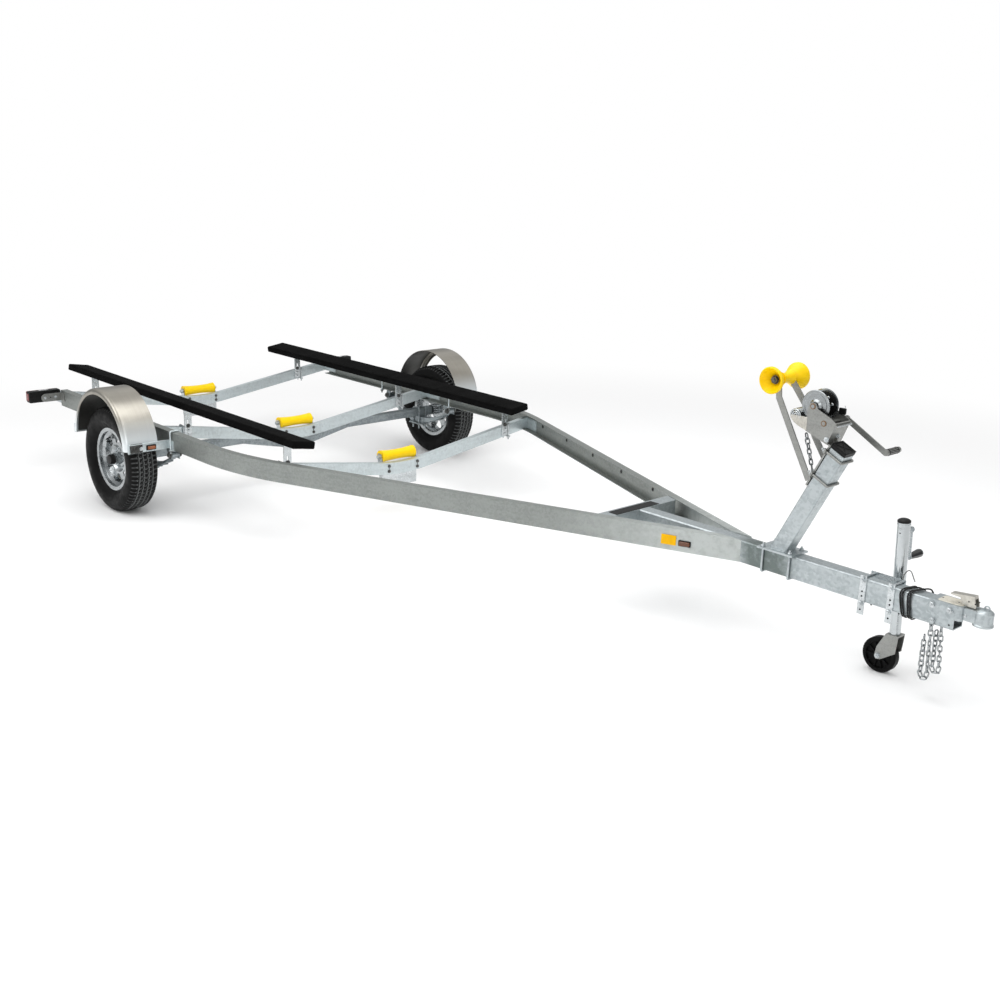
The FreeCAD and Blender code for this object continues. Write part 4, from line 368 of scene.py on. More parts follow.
def add_piece(name, shape, material, body="frame", replaces=None,
              sharp=35):
    """A mesh object from a shape, in the parked frame, riding on a body."""
    points, quads, caps = shape
    sizes = np.array([4] * len(quads) + [len(ring) for ring in caps], np.int32)
    loops = np.concatenate([quads.ravel(), *caps]).astype(np.int32)
    mesh = bpy.data.meshes.new(name)
    mesh.vertices.add(len(points))
    mesh.vertices.foreach_set("co", stand(points).astype(np.float32).ravel())
    mesh.loops.add(len(loops))
    mesh.loops.foreach_set("vertex_index", loops)
    mesh.polygons.add(len(sizes))
    mesh.polygons.foreach_set("loop_start", (np.cumsum(sizes) - sizes).astype(np.int32))
    mesh.polygons.foreach_set("loop_total", sizes)
    mesh.update(calc_edges=True)
    mesh.validate()
    mesh.shade_smooth()
    mesh.set_sharp_from_angle(angle=math.radians(sharp))
    mesh.materials.append(MATERIALS[material])
    piece = bpy.data.objects.new(name, mesh)
    bpy.context.scene.collection.objects.link(piece)
    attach(piece, body)
    if replaces:
        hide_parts(replaces)
    return piece


# Materials. Inputs given in order are, for Map Range: value, from min, from max, to min,
# to max; for Mix Shader: share, first, second; for Math: its numbers.

def feed(node, inputs):
    """Set a node's inputs, by name or in their order, to values, sockets or nodes' first
    outputs."""
    for name, value in inputs.items() if isinstance(inputs, dict) else enumerate(inputs):
        socket = node.inputs[name]
        if isinstance(value, bpy.types.Node):
            value = value.outputs[0]
        if isinstance(value, bpy.types.NodeSocket):
            node.id_data.links.new(value, socket)
        else:
            socket.default_value = (*value, 1.0) if socket.type == "RGBA" else value


def add_node(tree, kind, inputs=(), stops=(), **settings):
    """A node with its settings and inputs; a colour ramp's stops are (position, colour)."""
    node = tree.nodes.new("ShaderNode" + kind)
    for name, value in settings.items():
        setattr(node, name, value)
    for _ in stops[2:]:
        node.color_ramp.elements.new(0.5)
    for number, (position, colour) in enumerate(stops):
        node.color_ramp.elements[number].position = position
        node.color_ramp.elements[number].color = (*colour, 1.0)
    feed(node, inputs)
    return node


def new_material(name, **values):
    """An empty material with its shader's plain values; returns it, its tree and shader."""
    material = bpy.data.materials.new(name)
    material.use_nodes = True
    tree = material.node_tree
    tree.nodes.clear()
    shader = add_node(tree, "BsdfPrincipled",
                      {key.replace("_", " "): value for key, value in values.items()})
    add_node(tree, "OutputMaterial", {"Surface": shader})
    return material, tree, shader


def object_place(tree, scale=(1, 1, 1), shift=(0, 0, 0)):
    """Object coordinates in metres, multiplied along each axis, then shifted."""
    return add_node(tree, "Mapping", {"Vector": add_node(tree, "TexCoord").outputs["Object"],
                                      "Scale": scale, "Location": shift})


def blended(tree, share, first, second):
    """The first colour going over to the second by a share."""
    return add_node(tree, "Mix", {0: share, 6: first, 7: second}, data_type="RGBA").outputs[2]


def zinc_steel(name, pale, dull, grain, roughness, metallic=0.9, streak=(5, 5, 60),
               depth=0.00006, stain_and_lit_patch=None):
    """Zinc-coated steel. Crystals a few millimetres to two centimetres across each reflect a little
    differently, over slow clouds and faint drawn or drained streaks. A patch is a mottled stretch
    of another colour: on the tongue a real stain, on the rails painted light. It is given by its
    middle along X, its half length and its colour."""
    material, tree, shader = new_material(name, Metallic=metallic)
    place = object_place(tree)
    cells = add_node(tree, "TexVoronoi", {"Vector": place, "Scale": 1 / grain})
    crystals = add_node(tree, "SeparateColor", [cells.outputs["Color"]])
    clouds = add_node(tree, "TexNoise",
                      {"Vector": place, "Scale": 7.0, "Detail": 5.0, "Roughness": 0.6})
    drained = add_node(tree, "TexNoise",
                       {"Vector": object_place(tree, streak), "Scale": 1.0, "Detail": 3.0})
    total = 0.0
    for layer, share in ((crystals, 0.35), (clouds, 0.75), (drained, 0.55)):
        total = add_node(tree, "Math", [layer, share, total], operation="MULTIPLY_ADD")
    colour = add_node(tree, "ValToRGB", [total], [(0.45, dull), (0.95, pale)])
    # The patch: a real stain on the tongue, a painted lighter, lit stretch on the rails
    if stain_and_lit_patch:
        middle, half, patch_colour = stain_and_lit_patch
        off = add_node(tree, "Math", [add_node(tree, "SeparateXYZ", [place]), middle],
                       operation="SUBTRACT")
        off = add_node(tree, "Math", [off], operation="ABSOLUTE")
        reach = add_node(tree, "MapRange", [off, half * 0.5, half * 1.2, 1.9, 0.0])
        patches = add_node(tree, "TexNoise",
                           {"Vector": place, "Scale": 24.0, "Detail": 6.0, "Roughness": 0.65})
        share = add_node(tree, "Math", [reach, patches], operation="MULTIPLY", use_clamp=True)
        colour = blended(tree, share, colour, patch_colour)
    fine = add_node(tree, "TexNoise", {"Vector": place, "Scale": 220.0, "Detail": 2.0})
    feed(shader, {
        "Base Color": colour,
        "Roughness": add_node(tree, "MapRange",
                              [total, 0.45, 1.1, roughness + 0.12, roughness - 0.06]),
        "Normal": add_node(tree, "Bump", {"Height": fine, "Distance": depth})})
    return material


def rolled_sheet(name, colour, low_reflection_colour):
    """Sheet rolled into a fender: fine lines follow the rolling way, so the highlight is drawn out
    across them. The zinc is warm and shining at the crown; lower down, towards the ends, it is
    painted a paler, bluer colour, a painted reflection, and is more matt. The underside is darker
    and greyer."""
    material, tree, shader = new_material(name)
    lines = add_node(tree, "TexNoise",
                     {"Vector": object_place(tree, (3, 420, 3)), "Scale": 1.0, "Detail": 4.0})
    bands = add_node(tree, "TexNoise",
                     {"Vector": object_place(tree, (9, 2.5, 9)), "Scale": 1.0, "Detail": 4.0})
    mixed = add_node(tree, "Math", [lines, 0.35, bands], operation="MULTIPLY_ADD")
    crown, end = (add_node(tree, "ValToRGB", [mixed], [(0.45, dark), (0.85, pale)])
                  for dark, pale in ((dimmed(colour, 0.82), dimmed(colour, 1.12)),
                                     (dimmed(low_reflection_colour, 0.9), low_reflection_colour)))
    place = add_node(tree, "SeparateXYZ", [object_place(tree)])
    # Higher up the crown colour, lower down the paler, bluer colour painted as a reflection
    height = add_node(tree, "MapRange", [place.outputs["Z"], 0.06, 0.22],
                      interpolation_type="SMOOTHSTEP")
    # Under the sheet: nearer to the fender's middle line, and inside its outer lip
    sheet_radius, lip_y = 0.3285, 1.292
    middle_x, _, middle_z = stand((-23.0, 0.0, 390.0))
    spoke = object_place(tree, (1, 0, 1), (-middle_x, 0, -middle_z))
    radius = add_node(tree, "VectorMath", [spoke], operation="LENGTH")
    across = add_node(tree, "Math", [place.outputs["Y"]], operation="ABSOLUTE")
    under, within = (add_node(tree, "Math", [value, limit], operation="LESS_THAN")
                     for value, limit in ((radius.outputs["Value"], sheet_radius),
                                          (across, lip_y)))
    # Under the sheet the colour turns darker and greyer
    under_sheet = add_node(tree, "Math", [under, within], operation="MULTIPLY")
    feed(shader, {
        "Base Color": blended(tree, under_sheet, blended(tree, height, end, crown), linear(0x4A4A48)),
        "Metallic": add_node(tree, "MapRange", {"Value": height, "To Min": 0.5, "To Max": 0.95}),
        "Roughness": add_node(tree, "MapRange", [mixed, 0.4, 0.9, 0.4, 0.28]),
        "Normal": add_node(tree, "Bump", {"Height": lines, "Distance": 0.00008})})
    return material


def vulcanised_rubber(name, colour):
    """Tyre rubber: near black and dull, greyer where it is dusty, with mould ripples. The walls of
    the tread's grooves, which the piece's own attribute marks, are painted pale grey as a painted
    highlight."""
    material, tree, shader = new_material(name, Specular_IOR_Level=0.1)
    place = object_place(tree)
    dust_and_glint = add_node(tree, "TexNoise",
                    {"Vector": place, "Scale": 26.0, "Detail": 6.0, "Roughness": 0.65})
    grey = tuple(channel + 0.003 for channel in colour)
    clean = add_node(tree, "ValToRGB", [dust_and_glint], [(0.4, colour), (0.75, grey)])
    # Painted highlight: the grooves' walls are painted pale grey
    groove = add_node(tree, "Attribute", attribute_name="groove")
    walls = add_node(tree, "ValToRGB", [groove.outputs["Fac"]],
                     [(0.0, (0, 0, 0)), (0.35, (1, 1, 1)), (0.7, (1, 1, 1)),
                      (1.0, (0.1, 0.1, 0.1))])
    fine = add_node(tree, "TexNoise", {"Vector": place, "Scale": 500.0, "Detail": 2.0})
    feed(shader, {
        "Base Color": blended(tree, walls.outputs[0], clean, linear(0x6E7070)),
        "Roughness": add_node(tree, "MapRange", [dust_and_glint, 0.35, 0.65, 0.3, 0.65]),
        "Normal": add_node(tree, "Bump", {"Height": fine, "Distance": 0.0002})})
    return material


def marine_carpet(name, colour):
    """Needle-punched polypropylene carpet: felted black fibre with a soft sheen. The
    fibre pattern is drawn at 2 mm, coarser than real, so that it shows."""
    material, tree, shader = new_material(name, Roughness=0.95, Sheen_Weight=0.01,
                                          Sheen_Roughness=0.5, Specular_IOR_Level=0.03)
    place = object_place(tree)
    fibre = add_node(tree, "TexNoise",
                     {"Vector": place, "Scale": 480.0, "Detail": 3.0, "Roughness": 0.7})
    worn = add_node(tree, "TexNoise",
                    {"Vector": place, "Scale": 9.0, "Detail": 5.0, "Roughness": 0.65})
    mixed = add_node(tree, "Math", [fibre, 0.7, worn], operation="MULTIPLY_ADD")
    pale = tuple(channel * 2.2 + 0.001 for channel in colour)
    feed(shader, {
        "Base Color": add_node(tree, "ValToRGB", [mixed], [(0.62, colour), (1.0, pale)]),
        "Normal": add_node(tree, "Bump", {"Height": mixed, "Distance": 0.0016})})
    return material


def moulded(name, colour, roughness, grain=0.0, coat=0.0, variation=0.12, shine=0.25):
    """A moulded plastic or rubber: even colour, a faint orange peel and handling marks."""
    material, tree, shader = new_material(name, Coat_Weight=coat, Specular_IOR_Level=shine)
    place = object_place(tree)
    marks = add_node(tree, "TexNoise",
                     {"Vector": place, "Scale": 38.0, "Detail": 5.0, "Roughness": 0.6})
    fine = add_node(tree, "TexNoise", {"Vector": place, "Scale": 700.0, "Detail": 1.0})
    dark = dimmed(colour, 1 - variation)
    feed(shader, {
        "Base Color": add_node(tree, "ValToRGB", [marks], [(0.35, dark), (0.65, colour)]),
        "Roughness": add_node(tree, "MapRange", {"Value": marks, "To Min": roughness - 0.08,
                                                 "To Max": roughness + 0.12}),
        "Normal": add_node(tree, "Bump", {"Height": fine, "Distance": 0.00005 + grain})})
    return material


def lens(name, colour, depth=0.45):
    """A coloured lens: clear outside, prisms 3 mm apart moulded on its inside."""
    material, tree, shader = new_material(name, Roughness=0.14, Coat_Weight=0.3)
    prisms = add_node(tree, "TexVoronoi", {"Vector": object_place(tree), "Scale": 320.0})
    stops = [(0.0, colour), (0.8, dimmed(colour, depth))]
    feed(shader, {
        "Base Color": add_node(tree, "ValToRGB", [prisms], stops),
        "Normal": add_node(tree, "Bump", {"Height": prisms, "Distance": 0.0004})})
    return material


def make_materials(c):
    """Every finish by its key, from the colour settings."""
    bright, plain, black = c.bright_zinc, c.plate, c.black_plastic
    return {
        "galvanised": zinc_steel("hot_dip_galvanised_steel", c.galvanised, c.galvanised_dull,
                                 0.011, 0.42),
        "tongue": zinc_steel("welded_tongue_steel", c.galvanised, c.galvanised_dull, 0.011, 0.42,
                             stain_and_lit_patch=(-0.98, 0.15, linear(0x6F7876))),
        # Cross beams and fender arms: a paler copy of the zinc, painted light
        "beam": zinc_steel("lit_galvanised_beam_steel", c.beam, dimmed(c.beam, 0.84), 0.011, 0.44,
                           metallic=0.75, depth=0.00003),
        # Rails: a darker copy of the zinc as painted shade, with a lighter mottled front stretch as
        # painted light
        "rail": zinc_steel("shaded_galvanised_rail_steel", c.rail, dimmed(c.rail, 0.84), 0.009, 0.48,
                           depth=0.00003, stain_and_lit_patch=(-0.9, 0.85, linear(0xBDC2C0))),
        "plate": zinc_steel("flat_zinc_plate", plain, dimmed(plain, 0.8), 0.004, 0.4,
                            depth=0.00002),
        "dull_zinc": zinc_steel("dull_zinc_fastener", dimmed(plain, 0.45), dimmed(plain, 0.25),
                                0.003, 0.42),
        # A very dark copy of the plate zinc: painted shade
        "painted_shade_zinc": zinc_steel("painted_shade_zinc_casting", dimmed(plain, 0.3),
                                dimmed(plain, 0.12), 0.009, 0.5),
        "chrome": zinc_steel("polished_zinc_tube", dimmed(bright, 0.86), dimmed(bright, 0.78),
                             0.02, 0.16, metallic=1.0, streak=(30, 30, 3), depth=0.00001),
        "drum": zinc_steel("turned_drum_steel", dimmed(bright, 0.6), dimmed(bright, 0.5),
                           0.02, 0.26, metallic=1.0, streak=(3, 3, 3), depth=0.00001),
        "cream": zinc_steel("warm_zinc_plate", linear(0xECE8DC), linear(0xDCD7C9), 0.01, 0.5),
        "axle": zinc_steel("galvanised_axle_steel", c.galvanised_dull,
                           dimmed(c.galvanised_dull, 0.6), 0.011, 0.5),
        "rim": zinc_steel("galvanised_rim_steel", dimmed(bright, 0.7), dimmed(bright, 0.4),
                          0.006, 0.22, metallic=1.0, depth=0.00003),
        "chain": zinc_steel("bright_chain_wire", dimmed(bright, 0.62), dimmed(bright, 0.4),
                            0.01, 0.16, metallic=1.0),
        "bright_zinc": zinc_steel("bright_zinc_plate", bright, dimmed(bright, 0.7), 0.004, 0.27,
                                  metallic=1.0, depth=0.00002),
        "yellow_zinc": zinc_steel("yellow_passivated_zinc", c.yellow_zinc,
                                  dimmed(c.yellow_zinc, 0.75), 0.006, 0.34),
        # The fender's second colour is a painted reflection on its lower front
        "fender": rolled_sheet("rolled_fender_sheet", c.fender, linear(0xF0F6F8)),
        "tyre": vulcanised_rubber("vulcanised_tyre_rubber", c.tyre),
        "carpet": marine_carpet("needle_punched_carpet", c.carpet),
        "roller": moulded("yellow_polyurethane", c.roller, 0.34, variation=0.06),
        "black": moulded("black_moulded_plastic", black, 0.42),
        "gloss_black": moulded("glossy_black_plastic", black, 0.16, coat=0.2, shine=0.5),
        "rubber": moulded("black_cable_sheath", black, 0.24, grain=0.00003, shine=0.35),
        "amber": lens("amber_lens", c.amber),
        "dark_amber": lens("dark_amber_lens", dimmed(c.amber, 0.45)),
        "red": lens("red_lens", c.red),
        "reflector": moulded("yellow_reflector", c.reflector, 0.3, shine=0.15),
        "clear": lens("clear_lens", linear(0xDDE0E2), 0.8),
        "bronze": moulded("bronze_bushing", linear(0x7D6248), 0.4),
    }


NODE_FINISHES = {
    "tongue": "tongue",
    "galvanised": "front_cross_member winch_post coupler",
    "beam": "cross_beam_rear cross_beam_middle cross_beam_front fender_arms",
    "rail": "side_rail_right side_rail_left",
    "plate": "winch_stand winch_frame winch_crank jack_fork tail_lamp_plates",
    "chrome": "jack_outer_tube jack_inner_tube",
    "drum": "winch_drum",
    "axle": "axle_beam leaf_spring_right leaf_spring_left spring_mounts",
    "rim": "rim_right rim_left",
    "bright_zinc": "keel_roller_brackets bunk_brackets beam_clamps bow_chain safety_chains "
                   "jack_crank jack_mount",
    "yellow_zinc": "coupler_latch",
    "fender": "fender_right fender_left",
    "tyre": "tyre_right tyre_left jack_wheel",
    "carpet": "bunk_right bunk_left",
    "roller": "keel_roller_rear keel_roller_middle keel_roller_front bow_roller",
    "black": "step_tread tail_lamps post_cap jack_cap",
    "rubber": "cable_coil cable_plug",
    "amber": "side_markers",
}


class TRAILER_OT_finishes(Operator):
    """Give every solid of the frame its finish"""
    bl_idname = "trailer.finishes"
    bl_label = "Finishes"

    def execute(self, context):
        MATERIALS.update(make_materials(context.scene.trailer_colours))
        for finish, names in NODE_FINISHES.items():
            for name in names.split():
                NODES[name].data.materials.clear()
                NODES[name].data.materials.append(MATERIALS[finish])
        return {"FINISHED"}


# Places on the CAD solids

def beam_line(y, offset):
    """Height of the line at an offset over a beam's centre line, in its bend or beyond."""
    radius = BEAM_BEND_HALF / math.sin(BEAM_RISE)
    bend_y = (radius - offset) * math.sin(BEAM_RISE)
    if y > bend_y:
        bend_z = BEAM_LOW + radius - (radius - offset) * math.cos(BEAM_RISE)
        return bend_z + (y - bend_y) * math.tan(BEAM_RISE)
    return BEAM_LOW + radius - math.sqrt((radius - offset) ** 2 - y * y)


def on_post(distance, across):
    """A point (x, z) along the leaning post's middle line and forward of it."""
    c, s = math.cos(POST_LEAN), math.sin(POST_LEAN)
    return POST_FOOT + (distance * s + across * c, distance * c - across * s)


def rail_outer(x):
    """Half width over the rails' outer faces, on their straight front part."""
    half_width, bend_start, bend_radius = 1055, 708, 1574
    end_x = bend_start + bend_radius * math.sin(RAIL_BEND)
    end_y = half_width - bend_radius * (1 - math.cos(RAIL_BEND))
    return end_y - (x - end_x) * math.tan(RAIL_BEND)


def leaned(shape):
    """A shape drawn beside the upright jack, tipped back with the jack."""
    along, across, up = np.moveaxis(shape[0] - JACK_PIVOT, -1, 0)
    c, s = math.cos(JACK_LEAN), math.sin(JACK_LEAN)
    turned = np.stack([along * c - up * s, across, up * c + along * s], -1)
    return turned + JACK_PIVOT, *shape[1:]


# Tyres and wheels

def fade(value, start, width):
    """From 1 up to the start down to 0 a width further."""
    return np.clip(1 - (value - start) / width, 0, 1)


def tyre_shape(centre_y, depth, pitches):
    """Round the wheel for angle a, across for the profile's own length. The tread's radius drops by
    the groove depth where zigzag grooves and cross sipes run. Returns the shape and, at each point,
    the share of painted highlight on the grooves."""
    round_count, half = 720, 46
    knots = np.array([
        (166, 51), (184, 58), (187, 61), (200, 72), (222, 83), (244, 88), (264, 87.5),
        (281, 83), (292, 78), (299, 70), (303, 60), (305.2, 46), (306, 25), (306, 0),
    ])
    length = np.concatenate([[0], np.cumsum(np.linalg.norm(np.diff(knots, axis=0), axis=1))])
    # Rows are spent where the tread is: sparse on the wall, dense from the shoulder in
    even = np.concatenate([np.linspace(0, length[7], half // 3, endpoint=False),
                           np.linspace(length[7], length[-1], half - half // 3)])
    radius, y = (np.interp(even, length, knots[:, k]) for k in (0, 1))
    radius = np.concatenate([radius, radius[-2::-1]])
    y = np.concatenate([y, -y[-2::-1]])
    off = np.abs(y)
    angle = np.linspace(0, FULL_TURN, round_count, endpoint=False)[:, None]
    phase = angle * pitches / FULL_TURN
    zigzag = 2.6 * (2 / math.pi) * np.arcsin(np.sin(FULL_TURN * phase))
    grooves = [fade(np.abs(y - middle - zigzag * wave) - width, 0, 2.2)
               for middle, width, wave in ((-40, 4.2, 0.4), (-14.5, 4.4, 1.0),
                                           (14.5, 4.4, -1.0), (40, 4.2, -0.4))]
    # Slots over the shoulders, sipes across the inner ribs and across the middle rib
    for strength, share, width, soft, inside, inner_fade, outside, outer_fade in (
            (1.0, 0.0, 0.09, 0.07, 46, 4, 83, 3),
            (0.75, 0.25 + np.sign(y) * 0.1, 0.05, 0.06, 17, 2, 36, 2),
            (0.6, 0.6, 0.05, 0.06, -9, 2, 7, 2)):
        cut = fade(np.abs((phase + share) % 1.0 - 0.5), width, soft)
        grooves.append(strength * cut * (1 - fade(off, inside, inner_fade))
                       * fade(off, outside, outer_fade))
    drop = depth * np.max(grooves, 0) * (1 - fade(radius, 286, 12))
    ripple = 0.5 * np.exp(-((radius - 205) / 2.0) ** 2) + 0.9 * np.exp(-((radius - 270) / 2.2) ** 2)
    # Inner lining, coarse, closes the ring
    inner_surface = np.array([(166, -40), (200, -60), (250, -74), (282, -60), (290, 0), (282, 60),
                       (250, 74), (200, 60), (166, 40)], float)
    plain = np.zeros((round_count, len(inner_surface)))
    full = np.concatenate([radius - drop, plain + inner_surface[:, 0]], 1)
    wall = np.concatenate([y + np.sign(y) * ripple, inner_surface[:, 1]])
    rows = np.stack([full * np.cos(angle), wall + centre_y + 0 * full,
                     WHEEL_RADIUS + full * np.sin(angle)], -1)
    # Share of painted highlight: full within 50 mm of the middle, a quarter further out
    dust_and_glint = np.concatenate([drop / depth * np.where(off < 50, 1.0, 0.25), plain], 1)
    return skin(rows, wrap=True), dust_and_glint.ravel()


class TRAILER_OT_tyres(Operator):
    """Model both tyres with their tread"""
    bl_idname = "trailer.tyres"
    bl_label = "Tyres"

    def execute(self, context):
        sizes = context.scene.trailer_sizes
        for name, side in SIDES.items():
            shape, dust_and_glint = tyre_shape(WHEEL_Y * side, sizes.tread_depth * 1000,
                                     sizes.tread_pitches)
            piece = add_piece(f"road_tyre_{name}", shape, "tyre",
                              f"wheel_{name}", f"tyre_{name}", sharp=50)
            # The attribute carries the share of painted highlight on the grooves
            attribute = piece.data.attributes.new("groove", "FLOAT", "POINT")
            attribute.data.foreach_set("value", dust_and_glint.astype(np.float32))
        return {"FINISHED"}


class TRAILER_OT_wheel_fittings(Operator):
    """Add wheel nuts, grease caps and valves"""
    bl_idname = "trailer.wheel_fittings"
    bl_label = "Wheel fittings"

    def execute(self, context):
        nut_circle, nut_turn, valve_circle, valve_turn = 57, 0.3, 136, 2.2
        angle = np.linspace(0, FULL_TURN, 5, endpoint=False) + nut_turn
        valve_x, valve_z = math.cos(valve_turn), math.sin(valve_turn)
        nut = hex_nut(6.0, 9.0)
        cap = lathe([(30, 0), (30.5, 4), (28.5, 7), (28.2, 24), (26, 29), (8, 31)])
        valve = lathe([(5, 0), (5, 12), (3.6, 15), (3.6, 30), (3.0, 31)], 14)
        for name, side in SIDES.items():
            face = WHEEL_Y * side
            places = np.stack([nut_circle * np.cos(angle), np.full(5, face + side),
                               WHEEL_RADIUS + nut_circle * np.sin(angle)], -1)
            valve_place = (valve_circle * valve_x, face + 22 * side,
                           WHEEL_RADIUS + valve_circle * valve_z)
            for piece, shape, material, place, way in (
                    ("wheel_nuts", nut, "bright_zinc", places, (0, side, 0)),
                    ("grease_cap", cap, "black", (0, face + 45 * side, WHEEL_RADIUS),
                     (0, side, 0)),
                    ("valve", valve, "black", valve_place,
                     (-0.35 * valve_x, side, -0.35 * valve_z))):
                add_piece(f"{piece}_{name}", placed_at(shape, place, way), material,
                          f"wheel_{name}")
        return {"FINISHED"}


# Carpeted bunks

def bunk_shape(side, nap):
    """A plank wrapped in carpet: a rounded box section carried along X, which closes in
    at each end where the carpet is folded, with a slow unevenness of the wrap."""
    length, width, thick, ends = 2705.0, 144.0, 42.0, 10.0
    section = softened(rectangle(width, -thick) - (0, thick / 2), 11, 9)
    ahead = np.roll(section, -1, 0)
    section = np.stack([section + (ahead - section) * part
                        for part in np.linspace(0, 1, 4, endpoint=False)], 1).reshape(-1, 2)
    inner = np.array([0.0, -thick / 2])
    curl = ends * np.sin(np.linspace(0, math.pi / 2, 6)[:-1])
    x = np.concatenate([ends - curl, np.linspace(ends, length - ends, 260),
                        length - ends + curl])
    x = np.unique(np.round(x, 4))
    near_end = np.minimum(x, length - x)
    pull = ends - np.sqrt(ends ** 2 - np.clip(ends - near_end, 0, None) ** 2)
    shrink = 1 - pull[:, None, None] / (width / 2, thick / 2)
    direction = unit(section - inner)
    around = np.arange(len(section)) / len(section) * FULL_TURN
    rng = np.random.default_rng(7)
    wave = np.zeros((len(x), len(section)))
    for _ in range(14):
        along, turns = rng.uniform(0.004, 0.03), rng.integers(1, 9)
        phase = rng.uniform(0, FULL_TURN)
        wave += np.sin(x[:, None] * along * FULL_TURN / 3 + around * turns + phase) / 14
    tuft = rng.normal(0, 1, wave.shape)
    lift = 0.9 * wave + nap * 0.28 * tuft - 0.6
    rows = inner + (section - inner) * shrink + direction * lift[:, :, None]
    c, s = math.cos(BUNK_TILT), math.sin(BUNK_TILT)
    y = BUNK_Y + rows[..., 0] * c - rows[..., 1] * s
    z = BUNK_TOP + rows[..., 0] * s + rows[..., 1] * c
    return skin(np.stack([(x + BUNK_END)[:, None] + 0 * y, y * side, z], -1))


class TRAILER_OT_bunks(Operator):
    """Model the carpeted bunks"""
    bl_idname = "trailer.bunks"
    bl_label = "Bunks"

    def execute(self, context):
        nap = context.scene.trailer_sizes.carpet_nap * 1000
        for name, side in SIDES.items():
            add_piece(f"carpeted_bunk_{name}", bunk_shape(side, nap), "carpet",
                      replaces=f"bunk_{name}", sharp=80)
        return {"FINISHED"}


# Chains

def link_shape(length, width, wire):
    """One link: a circle of the wire's radius carried round two half circles joined by
    straight runs. It lies in the XY plane, its long way along X."""
    bend = (width - wire) / 2
    run = (length - wire) / 2 - bend
    half = np.linspace(-math.pi / 2, math.pi / 2, 7)
    right = np.stack([run + bend * np.cos(half), bend * np.sin(half), 0 * half], -1)
    return tube(np.concatenate([right, -right]), wire / 2, 8, closed=True, up=Z)


def chain_shape(route, wire, wobble, seed):
    """Links a pitch apart along a route, each turned a quarter from the one before."""
    length, width = 34.0, 22.0
    pitch = length - 2 * wire + 0.3
    route = np.asarray(route, float)
    stops = [route[0]]
    for after in route[1:]:
        while np.linalg.norm(after - stops[-1]) >= pitch:
            stops.append(stops[-1] + unit(after - stops[-1]) * pitch)
    along = unit(np.gradient(np.array(stops), axis=0))
    square = unit(np.cross(along, Y))
    across = np.cross(square, along)
    turn = np.arange(len(stops)) % 2 * math.pi / 2
    turn = turn + np.random.default_rng(seed).normal(0, wobble, len(stops))
    flat = square * np.cos(turn)[:, None] + across * np.sin(turn)[:, None]
    turns = np.stack([along, flat, np.cross(along, flat)], 1)
    return copies(link_shape(length, width, wire), stops, turns)


class TRAILER_OT_chains(Operator):
    """Model the safety chains and the bow chain"""
    bl_idname = "trailer.chains"
    bl_label = "Chains"

    def execute(self, context):
        wire = context.scene.trailer_sizes.chain_wire * 1000
        parts = []
        for side, swing in ((-1, 0), (1, 6)):
            y = (38.3 + wire / 2) * side
            parts.append(chain_shape([
                (4476, y, 409), (4484 + swing, y, 184), (4470 + swing, y, 167),
                (4454 + swing, y, 188), (4454 + swing, y, 357)], wire, 0.3, 5 + side))
        add_piece("safety_chain_links", joined(parts), "chain", replaces="safety_chains")
        foot_x, foot_z = on_post(POST_LENGTH - 160, -63)
        length, lean = 165, math.radians(17.5)
        add_piece("bow_chain_links", chain_shape([
            (foot_x, 0, foot_z),
            (foot_x - length * math.sin(lean), 0, foot_z + length * math.cos(lean))],
            wire, 0.2, 3), "chain", replaces="bow_chain")
        return {"FINISHED"}


# Small fittings

class TRAILER_OT_beam_fittings(Operator):
    """Bolt the bunk brackets, clamps and keel rollers to the cross beams"""
    bl_idname = "trailer.beam_fittings"
    bl_label = "Beam fittings"

    def execute(self, context):
        bracket_y, tab_y, clamp_y, roller_bolt_y = 795, 104, 827, 131.5
        nuts, heads, holes = [], [], []
        # Lag screws under the brackets' tilted tops, and nuts under the clamps' straps
        lag_z = 555.46 + (bracket_y - 786.2) * math.tan(BUNK_TILT) - 5.3
        strap_z = beam_line(clamp_y, -34) - 6.2
        for face in BEAM_FACES:
            front = face + 5.0
            nuts += [(hex_nut(5.5, 5.0), both((front, bracket_y, beam_line(bracket_y, 34) + 9)), X),
                     (hex_nut(4.5, 4.0), both(*[(face, tab_y, beam_line(tab_y, offset))
                                                for offset in (15, -15)]), X)]
            # A black disc on the tab: painted shade for the bolt hole
            holes.append((disc(3.5), both((face, tab_y, beam_line(tab_y, 0))), X))
            heads += [(domed_head(5.0), both(*[(front, bracket_y, beam_line(bracket_y, offset))
                                               for offset in (14, -14)]), X),
                      (hex_nut(5.0, 9.0), both((face + 5.3, clamp_y, strap_z),
                                               (face - 40.3, clamp_y, strap_z)), DOWN)]
            for side in (-1, 1):
                heads += [(hex_nut(5.0), (face + 28, bracket_y * side, lag_z),
                           (0, 0.148 * side, -0.989)),
                          (hex_nut(6.0, 3.0), (face - 65, roller_bolt_y * side, 372), (0, side, 0))]
        add_piece("beam_nuts", fitted(*nuts), "dull_zinc")
        add_piece("beam_bolts", fitted(*heads), "bright_zinc")
        add_piece("beam_bolt_hole_shade", fitted(*holes), "black")
        return {"FINISHED"}


